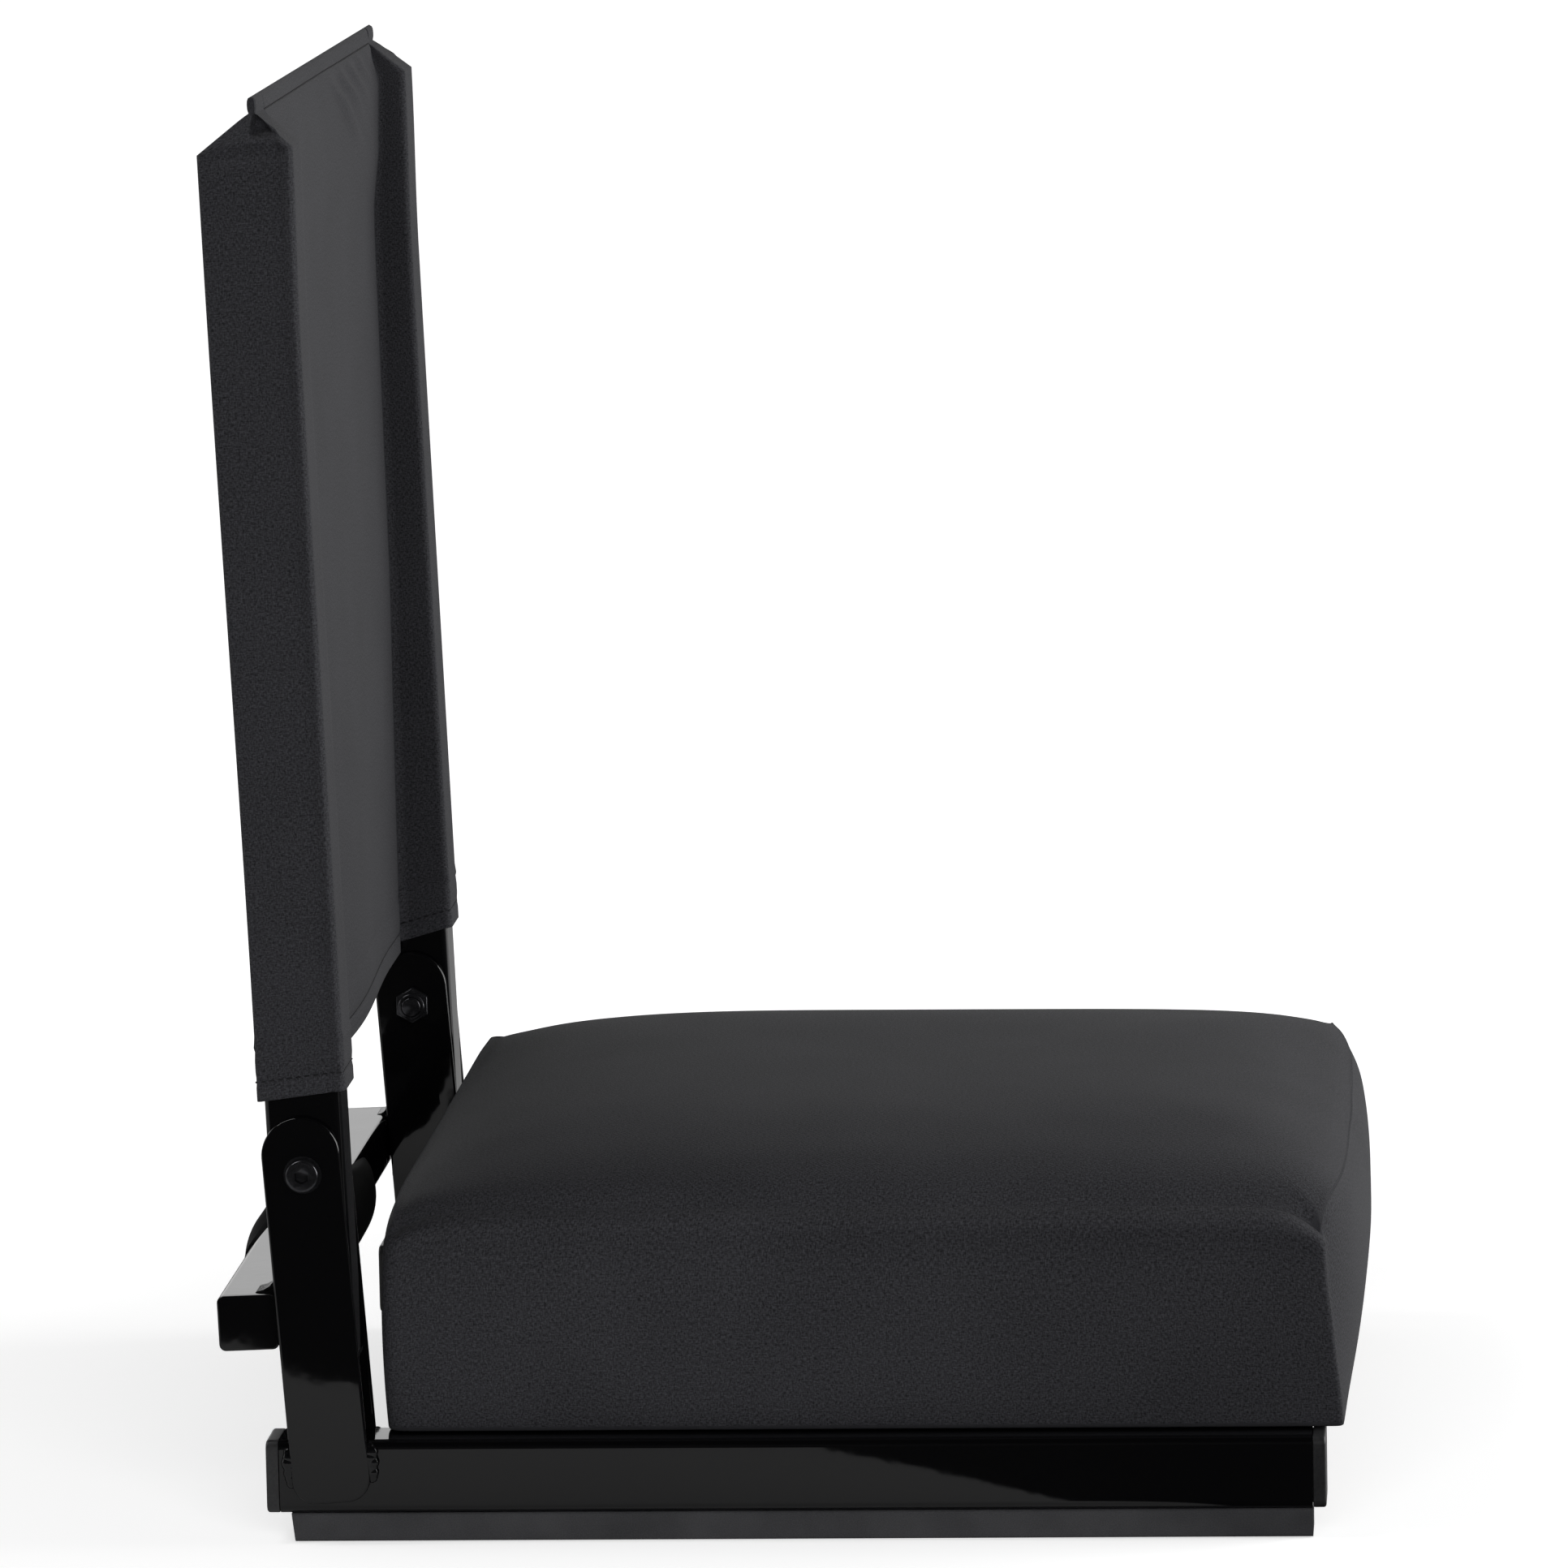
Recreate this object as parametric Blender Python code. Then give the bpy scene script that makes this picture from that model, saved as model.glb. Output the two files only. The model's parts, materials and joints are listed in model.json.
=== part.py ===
"""Folding bleacher seat: a steel base with a padded seat, and a canvas back that folds forward over it.

Metres, +Z up, +X to the front. The origin lies on the ground under the middle of the seat's outline.
"""

import math

import bmesh
import bpy

# Clearances
SEAT_GAP = 0.0003            # between pieces that rest on, or are welded to, each other
COVER_SLACK = 0.0008         # between a post and its canvas sleeve
FOAM_SLACK = 0.0008          # between the seat's foam and its canvas

# Side rails, seen along X
RAIL_LENGTH = 0.3944
RAIL_HEIGHT = 0.0283
RAIL_WIDTH = 0.0280
RAIL_WALL = 0.0016
RAIL_CORNER = 0.0035
RAIL_SPACING = 0.4020        # middle to middle
RAIL_BEHIND_PIVOT = 0.0125   # rear end of the rail behind the pivot axis
CAP_LIP = 0.0049
CAP_SPIGOT = 0.0140
CAP_DOME = 0.0016

# Non-slip strips under the rails
FOOT_HEIGHT = 0.0110
FOOT_WIDTH = 0.0240
FOOT_CORNER = 0.0012
FOOT_SETBACK = 0.0040        # from the rail's rear end
FOOT_SLANT = 0.0013

# Cross tubes under the seat
CROSS_SIZE = 0.0200
CROSS_WALL = 0.0014
CROSS_CORNER = 0.0025
CROSS_REAR_AHEAD = 0.0750    # middle of the rear tube in front of the pivot axis
CROSS_FRONT_AHEAD = 0.3350

# Pivot straps: round-topped plates, two on each rail
STRAP_THICKNESS = 0.0030
STRAP_FRONT = 0.0146         # front edge from the pivot axis
STRAP_LEAN = math.radians(3.85)
STRAP_CROWN = 0.0219         # top of the strap above the pivot axis
STRAP_FOOT = 0.0160          # bottom of the strap above the ground
STRAP_CORNER = 0.0090
STRAP_EDGE = 0.0004
STRAP_WELD = 0.0042

# Pivot
PIVOT_HEIGHT = 0.1436
BOLT_DIAMETER = 0.0080
BOLT_HEAD = 0.0126
BOLT_HEAD_HEIGHT = 0.0040
BOLT_SOCKET = 0.0050         # across the flats
BOLT_SOCKET_DEPTH = 0.0024
BOLT_END = 0.0012            # thread showing past the nut
BOLT_WASHER = 0.0146
BOLT_WASHER_THICKNESS = 0.0008
NUT_FLATS = 0.0130
NUT_HEX = 0.0048
NUT_COLLAR = 0.0110
NUT_HEIGHT = 0.0075
PIVOT_WASHER = 0.0200
PIVOT_WASHER_THICKNESS = 0.0007
BUSH_WALL = 0.0018

# Back posts
POST_DEPTH = 0.0294
POST_WALL = 0.0015
POST_CORNER = 0.0030
POST_AHEAD = 0.0009          # middle of the post in front of the pivot axis
POST_LEAN = math.radians(1.93)
POST_ABOVE_PIVOT = 0.3855
POST_BELOW_PIVOT = 0.0720
PLUG_LIP = 0.0020
PLUG_SPIGOT = 0.0120
PLUG_DOME = 0.0006

# Stop bar, which is also the carrying handle
BAR_HEIGHT = 0.0214
BAR_DEPTH = 0.0231
BAR_WALL = 0.0014
BAR_CORNER = 0.0026
BAR_LENGTH = 0.4200          # over the end caps
BAR_BELOW_PIVOT = 0.0474     # top of the bar below the pivot axis
BAR_CAP_LIP = 0.0022
BAR_CAP_SPIGOT = 0.0120
BAR_CAP_DOME = 0.0008
BAR_WELD_BACK = 0.0080
BAR_WELD_UP = 0.0062
BAR_WELD_MARGIN = 0.0020     # the weld stops short of both ends
GRIP_LENGTH = 0.1840
GRIP_DIAMETER = 0.0400
GRIP_END_DIAMETER = 0.0325
GRIP_TAPER = 0.0450

# Canvas back
COVER_WALL = 0.0014
SLEEVE_CORNER = 0.0042
HEM_ABOVE_PIVOT = 0.0298
SEAM_ABOVE_PIVOT = 0.4071
SEAM_PAST_POST = 0.0045      # ends of the top seam outside the posts' middles
SEAM_HEIGHT = 0.0120
SEAM_THICKNESS = 0.0034
PANEL_THICKNESS = 0.0022
PANEL_BOW = 0.0040           # how far the slack canvas hangs back in the middle
PANEL_STATIONS = 13
PANEL_LEVELS = 7

# Seat
CUSHION_LENGTH = 0.3740
CUSHION_WIDTH = 0.4180
CUSHION_AHEAD = 0.0281       # rear of the cushion in front of the pivot axis
CUSHION_SIDE = 0.0880        # height of the side panel
CUSHION_CROWN = 0.0200
CUSHION_CORNER = 0.0230
CUSHION_TUCK = 0.0070        # how far the sides draw in at the bottom
CUSHION_SHOULDER = 0.0050    # how far they draw in at the top seam
CROWN_POWER_X = 5.0
CROWN_POWER_Y = 4.0
CORNER_DIP = 0.0060
CUSHION_FULLEST = 0.62       # level at which the sides stand out most, as a share of their height
SEAT_COVER_WALL = 0.0012
SEAT_COVER_TURN = 0.0300     # width of canvas turned in under the board
BOARD_THICKNESS = 0.0120
SCREW_DIAMETER = 0.0042
SCREW_HEAD = 0.0085
SCREW_HEAD_HEIGHT = 0.0028
SCREW_BITE = 0.0090          # length of screw in the board
SCREW_SPACING = 0.2400

# Facets
ROUND = 24
SCREW_ROUND = 12
CORNER_STEPS = 3
CUSHION_CORNER_STEPS = 5
CUSHION_SIDE_STEPS = 5
ARC_STEPS = 16
SIDE_LEVELS = (0.05, 0.22, 0.45, 0.68, 0.88, 1.0)
CROWN_RINGS = (0.965, 0.90, 0.79, 0.62, 0.40, 0.14)

# Places that follow from the sizes
RIGHT, LEFT = -1, 1
SIDES = {"right": RIGHT, "left": LEFT}
RAIL_BOTTOM = FOOT_HEIGHT + SEAT_GAP
RAIL_TOP = RAIL_BOTTOM + RAIL_HEIGHT
RAIL_MIDDLE_Z = RAIL_BOTTOM + RAIL_HEIGHT / 2
RAIL_Y = RAIL_SPACING / 2
STRAP_INSIDE = RAIL_WIDTH / 2 + SEAT_GAP
STRAP_OUTSIDE = STRAP_INSIDE + STRAP_THICKNESS
POST_WIDTH = 2 * (STRAP_INSIDE - PIVOT_WASHER_THICKNESS - 2 * SEAT_GAP)
POST_REAR = POST_AHEAD - POST_DEPTH / 2
POST_FRONT = POST_AHEAD + POST_DEPTH / 2
BORE_RADIUS = BOLT_DIAMETER / 2 + SEAT_GAP
BUSH_RADIUS = BORE_RADIUS + BUSH_WALL
BAR_FRONT = POST_REAR - SEAT_GAP
BAR_TUBE_END = BAR_LENGTH / 2 - BAR_CAP_LIP - SEAT_GAP
BAR_MIDDLE_X = BAR_FRONT - BAR_DEPTH / 2
BAR_MIDDLE_Z = -BAR_BELOW_PIVOT - BAR_HEIGHT / 2
GRIP_REAR = BAR_MIDDLE_X * math.cos(POST_LEAN) - BAR_MIDDLE_Z * math.sin(POST_LEAN) - GRIP_DIAMETER / 2
CUSHION_BOTTOM = RAIL_TOP + SEAT_GAP
BOARD_BOTTOM = CUSHION_BOTTOM + SEAT_COVER_WALL + SEAT_GAP
BOARD_TOP = BOARD_BOTTOM + BOARD_THICKNESS
PIVOT_X = -(CUSHION_AHEAD + CUSHION_LENGTH + GRIP_REAR) / 2
RAIL_REAR_X = PIVOT_X - RAIL_BEHIND_PIVOT
RAIL_FRONT_X = RAIL_REAR_X + RAIL_LENGTH
CUSHION_X = PIVOT_X + CUSHION_AHEAD + CUSHION_LENGTH / 2
SHOULDER_ABOVE_PIVOT = POST_ABOVE_PIVOT + SEAT_GAP + PLUG_LIP + COVER_SLACK
SEAM_HALF_WIDTH = RAIL_Y + SEAM_PAST_POST


def strap_rear():
    """Distance from the pivot axis to the straps' rear edges, which the leaning stop bar comes to rest on."""
    turn = STRAP_LEAN - POST_LEAN
    heights = (BAR_BELOW_PIVOT, BAR_BELOW_PIVOT + BAR_HEIGHT)
    reaches = [(-BAR_FRONT - SEAT_GAP) * math.cos(turn) + height * math.sin(turn) for height in heights]
    return min(reaches)


STRAP_REAR = strap_rear()


def clear_scene():
    for thing in list(bpy.data.objects):
        bpy.data.objects.remove(thing, do_unlink=True)


def material(name, colour, roughness, metallic=0.0):
    made = bpy.data.materials.new(name)
    made.use_nodes = True
    shader = made.node_tree.nodes["Principled BSDF"]
    shader.inputs["Base Color"].default_value = (*colour, 1.0)
    shader.inputs["Roughness"].default_value = roughness
    shader.inputs["Metallic"].default_value = metallic
    return made


def rounded_rectangle(width, height, corner, steps=CORNER_STEPS, side_steps=1):
    """Points round a rectangle with round corners, counter-clockwise, as (a, b) pairs."""
    corner = min(corner, width / 2, height / 2)
    points = []
    for index, (sign_a, sign_b) in enumerate(((1, 1), (-1, 1), (-1, -1), (1, -1))):
        middle_a = sign_a * (width / 2 - corner)
        middle_b = sign_b * (height / 2 - corner)
        for step in range(steps + 1):
            angle = math.pi / 2 * (index + step / steps)
            points.append((middle_a + corner * math.cos(angle), middle_b + corner * math.sin(angle)))
        straight = height if index % 2 else width
        length = straight - 2 * corner
        along = ((-1, 0), (0, -1), (1, 0), (0, 1))[index]
        for step in range(1, side_steps):
            run = length * step / side_steps
            start = points[(index + 1) * (steps + 1) + index * (side_steps - 1) - 1]
            points.append((start[0] + along[0] * run, start[1] + along[1] * run))
    return points


def circle(radius, steps=ROUND):
    turn = 2 * math.pi / steps
    return [(radius * math.cos(turn * step), radius * math.sin(turn * step)) for step in range(steps)]


def hexagon(flats):
    """A hexagon with as many points as a circle here, so that the two can be joined ring to ring."""
    points = []
    for step in range(ROUND):
        angle = 2 * math.pi * step / ROUND
        radius = flats / 2 / math.cos(angle % (math.pi / 3) - math.pi / 6)
        points.append((radius * math.cos(angle), radius * math.sin(angle)))
    return points


def across_x(outline, x, y=0.0, z=0.0):
    return [(x, y + a, z + b) for a, b in outline]


def across_y(outline, y, x=0.0, z=0.0):
    return [(x + a, y, z + b) for a, b in outline]


def across_z(outline, z, x=0.0, y=0.0):
    return [(x + a, y + b, z) for a, b in outline]


def skin(name, *bodies, wrap=False):
    """A mesh of one or more closed bodies, each a run of rings with equal counts, capped or closed on itself."""
    shape = bmesh.new()
    for rings in bodies:
        loops = [[shape.verts.new(point) for point in ring] for ring in rings]
        pairs = list(zip(loops, loops[1:]))
        if wrap:
            pairs.append((loops[-1], loops[0]))
        else:
            shape.faces.new(list(reversed(loops[0])))
            shape.faces.new(loops[-1])
        for low, high in pairs:
            for index in range(len(low)):
                after = (index + 1) % len(low)
                shape.faces.new((low[index], low[after], high[after], high[index]))
    bmesh.ops.recalc_face_normals(shape, faces=shape.faces)
    mesh = bpy.data.meshes.new(name)
    shape.to_mesh(mesh)
    shape.free()
    mesh.shade_smooth()
    mesh.set_sharp_from_angle(angle=math.radians(35))
    return mesh


def add(name, mesh, finish, parent=None):
    thing = bpy.data.objects.new(name, mesh)
    bpy.context.scene.collection.objects.link(thing)
    thing.parent = parent
    if finish:
        mesh.materials.append(finish)
    return thing


def guide(name, mesh, parent=None):
    """A shape that only joins or cuts others."""
    thing = add(name, mesh, None, parent)
    thing.hide_render = True
    thing.display_type = "WIRE"
    return thing


def combine(thing, other, operation="DIFFERENCE"):
    change = thing.modifiers.new(other.name, "BOOLEAN")
    change.operation = operation
    change.solver = "EXACT"
    change.object = other


def axis_empty(name, lean):
    """An empty on the pivot axis, leaning back, on which pieces are placed as if upright."""
    empty = bpy.data.objects.new(name, None)
    bpy.context.scene.collection.objects.link(empty)
    empty.location = (PIVOT_X, 0.0, PIVOT_HEIGHT)
    empty.rotation_euler = (0.0, -lean, 0.0)
    return empty


def tube(name, place, start, end, width, height, wall, corner):
    """A rectangular tube, open at both ends; place puts an outline across its axis."""
    outer = rounded_rectangle(width, height, corner)
    inner = rounded_rectangle(width - 2 * wall, height - 2 * wall, max(corner - wall, wall / 4))
    return skin(name, [place(outer, start), place(outer, end), place(inner, end), place(inner, start)], wrap=True)


def plug(name, place, end, out, width, height, wall, corner, lip, spigot, dome):
    """A moulded plug: a spigot in the tube, and a lip with a rounded face outside its end."""
    inside = wall + SEAT_GAP
    fit = rounded_rectangle(width - 2 * inside, height - 2 * inside, max(corner - inside, wall / 4))
    tip = rounded_rectangle(width - 4 * inside, height - 4 * inside, max(corner - 2 * inside, wall / 4))
    full = rounded_rectangle(width, height, corner)
    mid = rounded_rectangle(width - 0.6 * dome, height - 0.6 * dome, corner)
    face = rounded_rectangle(width - 2 * dome, height - 2 * dome, corner)
    seat = end + out * SEAT_GAP
    rings = [
        place(tip, end - out * spigot),
        place(fit, end - out * spigot * 0.8),
        place(fit, seat),
        place(full, seat),
        place(full, seat + out * (lip - dome)),
        place(mid, seat + out * (lip - 0.4 * dome)),
        place(face, seat + out * lip),
    ]
    return skin(name, rings)


def ring(name, inner, outer, start, end):
    """A washer or bush round the pivot axis."""
    hole = circle(inner)
    rim = circle(outer)
    rings = [across_y(hole, start), across_y(rim, start), across_y(rim, end), across_y(hole, end)]
    return skin(name, rings, wrap=True)


def side_rail(side, y, paint):
    def place(outline, x):
        return across_x(outline, x, y, RAIL_MIDDLE_Z)

    shape = tube("side_rail", place, RAIL_REAR_X, RAIL_FRONT_X, RAIL_WIDTH, RAIL_HEIGHT, RAIL_WALL, RAIL_CORNER)
    add(f"side_rail_{side}", shape, paint)


def rail_caps(side, y, plastic):
    def place(outline, x):
        return across_x(outline, x, y, RAIL_MIDDLE_Z)

    for end, x, out in (("rear", RAIL_REAR_X, -1), ("front", RAIL_FRONT_X, 1)):
        size = (RAIL_WIDTH, RAIL_HEIGHT, RAIL_WALL, RAIL_CORNER)
        shape = plug("rail_cap", place, x, out, *size, CAP_LIP, CAP_SPIGOT, CAP_DOME)
        add(f"rail_cap_{end}_{side}", shape, plastic)


def foot_strip(side, y, rubber):
    """The strip's rear end slopes forward a little towards the ground."""
    outline = rounded_rectangle(FOOT_WIDTH, FOOT_HEIGHT, FOOT_CORNER)
    middle = FOOT_HEIGHT / 2
    rear = RAIL_REAR_X + FOOT_SETBACK
    slope = [(rear + FOOT_SLANT * (0.5 - b / FOOT_HEIGHT), y + a, middle + b) for a, b in outline]
    add(f"foot_strip_{side}", skin("foot_strip", [slope, across_x(outline, RAIL_FRONT_X, y, middle)]), rubber)


def cross_tubes(paint, screw_holes):
    half = RAIL_Y - RAIL_WIDTH / 2 - SEAT_GAP
    for end, ahead in (("rear", CROSS_REAR_AHEAD), ("front", CROSS_FRONT_AHEAD)):
        def place(outline, y, x=PIVOT_X + ahead):
            return across_y(outline, y, x, RAIL_TOP - CROSS_SIZE / 2)

        shape = tube("cross_tube", place, -half, half, CROSS_SIZE, CROSS_SIZE, CROSS_WALL, CROSS_CORNER)
        combine(add(f"cross_tube_{end}", shape, paint), screw_holes)


def strap_outline(inset):
    """Round top, straight sides and rounded lower corners, in the strap's own leaning plane."""
    radius = (STRAP_FRONT + STRAP_REAR) / 2
    middle = (STRAP_FRONT - STRAP_REAR) / 2
    half = radius - inset
    bottom = -(PIVOT_HEIGHT - STRAP_FOOT) / math.cos(STRAP_LEAN) + inset
    corner = min(STRAP_CORNER, half)
    points = []
    for step in range(ARC_STEPS + 1):
        angle = math.pi * step / ARC_STEPS
        points.append((middle + half * math.cos(angle), STRAP_CROWN - radius + half * math.sin(angle)))
    for sign, start in ((-1, 1.0), (1, 1.5)):
        for step in range(CORNER_STEPS + 1):
            angle = math.pi * (start + 0.5 * step / CORNER_STEPS)
            a = middle + sign * (half - corner) + corner * math.cos(angle)
            points.append((a, bottom + corner + corner * math.sin(angle)))
    return points


def weld_bead(edge, direction, face, out):
    """A bead in the corner between a strap's edge and the rail, thinner at both ends."""
    height = STRAP_THICKNESS - 2 * STRAP_EDGE
    root = 2 * STRAP_EDGE
    section = ((0.0, 0.0), (1.0, 0.0), (0.75, 0.4), (0.4, 0.78), (0.0, 1.0))
    low = STRAP_FOOT + STRAP_CORNER
    high = RAIL_TOP - RAIL_CORNER
    rings = []
    for share, size in ((0.0, 0.4), (0.12, 1.0), (0.88, 1.0), (1.0, 0.4)):
        x = edge - direction * root
        z = (low + (high - low) * share - PIVOT_HEIGHT - x * math.sin(STRAP_LEAN)) / math.cos(STRAP_LEAN)
        width = root + STRAP_WELD * size
        rings.append([(x + direction * a * width, face + out * b * height * size, z) for a, b in section])
    return rings


def strap(name, face, out, paint, axis, bolt_hole):
    """A plate with its edges eased and its two weld beads, standing on a rail's face."""
    full = strap_outline(0.0)
    eased = strap_outline(STRAP_EDGE)
    rings = [
        across_y(eased, face),
        across_y(full, face + out * STRAP_EDGE),
        across_y(full, face + out * (STRAP_THICKNESS - STRAP_EDGE)),
        across_y(eased, face + out * STRAP_THICKNESS),
    ]
    root = face + out * SEAT_GAP
    beads = skin("beads", weld_bead(STRAP_FRONT, 1, root, out), weld_bead(-STRAP_REAR, -1, root, out))
    plate = add(name, skin("strap", rings), paint, axis)
    combine(plate, guide(f"{name}_bead_guide", beads, axis), "UNION")
    combine(plate, bolt_hole)


def straps(side, y, sign, paint, axis, bolt_hole):
    strap(f"strap_outer_{side}", y + sign * STRAP_INSIDE, sign, paint, axis, bolt_hole)
    strap(f"strap_inner_{side}", y - sign * STRAP_INSIDE, -sign, paint, axis, bolt_hole)


def pivot_bolt(side, y, sign, steel, axis):
    seat = y + sign * (STRAP_OUTSIDE + 2 * SEAT_GAP + BOLT_WASHER_THICKNESS)
    top = seat + sign * BOLT_HEAD_HEIGHT
    end = y - sign * (STRAP_OUTSIDE + SEAT_GAP + NUT_HEIGHT + BOLT_END)
    chamfer = BOLT_DIAMETER / 8
    rings = [
        across_y(hexagon(BOLT_SOCKET), top - sign * BOLT_SOCKET_DEPTH),
        across_y(hexagon(BOLT_SOCKET), top),
        across_y(circle(0.34 * BOLT_HEAD), top),
        across_y(circle(0.46 * BOLT_HEAD), top - sign * 0.22 * BOLT_HEAD_HEIGHT),
        across_y(circle(0.50 * BOLT_HEAD), top - sign * 0.55 * BOLT_HEAD_HEIGHT),
        across_y(circle(0.50 * BOLT_HEAD), seat),
        across_y(circle(BOLT_DIAMETER / 2), seat),
        across_y(circle(BOLT_DIAMETER / 2), end + sign * chamfer),
        across_y(circle(BOLT_DIAMETER / 2 - chamfer), end),
    ]
    add(f"pivot_bolt_{side}", skin("pivot_bolt", rings), steel, axis)


def lock_nut(side, y, sign, steel, axis):
    face = y - sign * (STRAP_OUTSIDE + SEAT_GAP)
    chamfer = NUT_HEX / 8
    rings = [
        across_y(circle(BORE_RADIUS), face),
        across_y(circle(NUT_FLATS / 2), face),
        across_y(hexagon(NUT_FLATS), face - sign * chamfer),
        across_y(hexagon(NUT_FLATS), face - sign * (NUT_HEX - chamfer)),
        across_y(circle(NUT_COLLAR / 2), face - sign * NUT_HEX),
        across_y(circle(NUT_COLLAR / 2), face - sign * (NUT_HEIGHT - chamfer)),
        across_y(circle(NUT_COLLAR / 2 - chamfer), face - sign * NUT_HEIGHT),
        across_y(circle(BORE_RADIUS), face - sign * NUT_HEIGHT),
    ]
    add(f"lock_nut_{side}", skin("lock_nut", rings, wrap=True), steel, axis)


def pivot_washers(side, y, sign, steel, plastic, axis):
    start = y + sign * (STRAP_OUTSIDE + SEAT_GAP)
    shape = ring("bolt_washer", BORE_RADIUS, BOLT_WASHER / 2, start, start + sign * BOLT_WASHER_THICKNESS)
    add(f"bolt_washer_{side}", shape, steel, axis)
    for where, out in (("outer", sign), ("inner", -sign)):
        start = y + out * (POST_WIDTH / 2 + SEAT_GAP)
        end = start + out * PIVOT_WASHER_THICKNESS
        shape = ring("pivot_washer", BORE_RADIUS, PIVOT_WASHER / 2, start, end)
        add(f"pivot_washer_{where}_{side}", shape, plastic, axis)


def cushion_outline(inset):
    width = CUSHION_LENGTH - 2 * inset
    height = CUSHION_WIDTH - 2 * inset
    corner = max(CUSHION_CORNER - inset, CUSHION_CORNER / 4)
    return rounded_rectangle(width, height, corner, CUSHION_CORNER_STEPS, CUSHION_SIDE_STEPS)


def side_inset(level):
    """How far the cushion's side draws in at a level, a share of its height."""
    if level < CUSHION_FULLEST:
        return CUSHION_TUCK * (1 - level / CUSHION_FULLEST) ** 2
    return CUSHION_SHOULDER * ((level - CUSHION_FULLEST) / (1 - CUSHION_FULLEST)) ** 2


def corner_pull(a, b):
    """How near a point at shares a and b of the half length and half width is to a corner."""
    return (a * a * b * b) ** 3


def crown(a, b):
    """Height of the seat's top over its seam, whose corners the canvas pulls down."""
    swell = (1 - abs(a) ** CROWN_POWER_X) * (1 - abs(b) ** CROWN_POWER_Y)
    return CUSHION_CROWN * swell - CORNER_DIP * corner_pull(a, b)


def cushion_rings(depth, levels):
    """Rings up the side and over the top of the cushion, at a depth inside its outer surface."""
    side = CUSHION_SIDE - depth
    rings = []
    for level in levels:
        outline = cushion_outline(side_inset(level) + depth)
        half_x = max(a for a, b in outline)
        half_y = max(b for a, b in outline)
        dip = CORNER_DIP * level ** 4
        z = CUSHION_BOTTOM + side * level
        rings.append([(CUSHION_X + a, b, z - dip * corner_pull(a / half_x, b / half_y)) for a, b in outline])
    for size in CROWN_RINGS:
        z = CUSHION_BOTTOM + side
        shares = [(a * size / half_x, b * size / half_y) for a, b in outline]
        rings.append([(CUSHION_X + a * half_x, b * half_y, z + crown(a, b)) for a, b in shares])
    return rings


def seat_cover(canvas):
    """The canvas: in over the foam, down the sides, turned in under the board and back out again."""
    flap = cushion_outline(SEAT_COVER_TURN)
    floor = CUSHION_BOTTOM + SEAT_COVER_WALL
    rings = list(reversed(cushion_rings(SEAT_COVER_WALL, SIDE_LEVELS)))
    rings.append(across_z(cushion_outline(CUSHION_TUCK + SEAT_COVER_WALL), floor, CUSHION_X))
    rings.append(across_z(flap, floor, CUSHION_X))
    rings.append(across_z(flap, CUSHION_BOTTOM, CUSHION_X))
    rings.append(across_z(cushion_outline(CUSHION_TUCK + SEAT_COVER_WALL), CUSHION_BOTTOM, CUSHION_X))
    rings += cushion_rings(0.0, SIDE_LEVELS)
    add("seat_cover", skin("seat_cover", rings), canvas)


def seat_foam(foam):
    depth = SEAT_COVER_WALL + FOAM_SLACK
    start = (BOARD_TOP + SEAT_GAP - CUSHION_BOTTOM) / (CUSHION_SIDE - depth)
    levels = [start] + [level for level in SIDE_LEVELS if level > start]
    add("seat_foam", skin("seat_foam", cushion_rings(depth, levels)), foam)


def seat_board(wood, screw_holes):
    outline = cushion_outline(CUSHION_TUCK + SEAT_COVER_WALL + SEAT_GAP)
    rings = [across_z(outline, BOARD_BOTTOM, CUSHION_X), across_z(outline, BOARD_TOP, CUSHION_X)]
    combine(add("seat_board", skin("seat_board", rings), wood), screw_holes)


def screw_places():
    for end, ahead in (("rear", CROSS_REAR_AHEAD), ("front", CROSS_FRONT_AHEAD)):
        for side, sign in SIDES.items():
            yield f"seat_screw_{end}_{side}", PIVOT_X + ahead, sign * SCREW_SPACING / 2


def seat_screws(steel):
    """Pan-head screws from below, through both walls of the cross tubes and into the board."""
    head = RAIL_TOP - CROSS_SIZE - SEAT_GAP
    tip = BOARD_BOTTOM + SCREW_BITE
    profile = (
        (0.36 * SCREW_HEAD, head - SCREW_HEAD_HEIGHT),
        (0.47 * SCREW_HEAD, head - 0.7 * SCREW_HEAD_HEIGHT),
        (0.50 * SCREW_HEAD, head),
        (0.50 * SCREW_DIAMETER, head),
        (0.50 * SCREW_DIAMETER, tip - SCREW_DIAMETER),
        (0.15 * SCREW_DIAMETER, tip),
    )
    for name, x, y in screw_places():
        add(name, skin("seat_screw", [across_z(circle(r, SCREW_ROUND), z, x, y) for r, z in profile]), steel)


def screw_hole_guide():
    radius = SCREW_DIAMETER / 2 + SEAT_GAP
    low = RAIL_TOP - CROSS_SIZE - SCREW_HEAD_HEIGHT
    high = BOARD_BOTTOM + SCREW_BITE + SEAT_GAP
    hole = circle(radius, SCREW_ROUND)
    bodies = [[across_z(hole, low, x, y), across_z(hole, high, x, y)] for name, x, y in screw_places()]
    return guide("screw_hole_guide", skin("screw_hole_guide", *bodies))


def pivot_guide(name, radius, axis):
    reach = RAIL_Y + 2 * STRAP_OUTSIDE
    rim = circle(radius)
    return guide(name, skin(name, [across_y(rim, -reach), across_y(rim, reach)]), axis)


def back_post(side, y, paint, hinge, bush_hole):
    def place(outline, z):
        return across_z(outline, z, POST_AHEAD, y)

    size = (POST_DEPTH, POST_WIDTH, POST_WALL, POST_CORNER)
    shape = tube("back_post", place, -POST_BELOW_PIVOT, POST_ABOVE_PIVOT, *size)
    combine(add(f"back_post_{side}", shape, paint, hinge), bush_hole)


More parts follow.
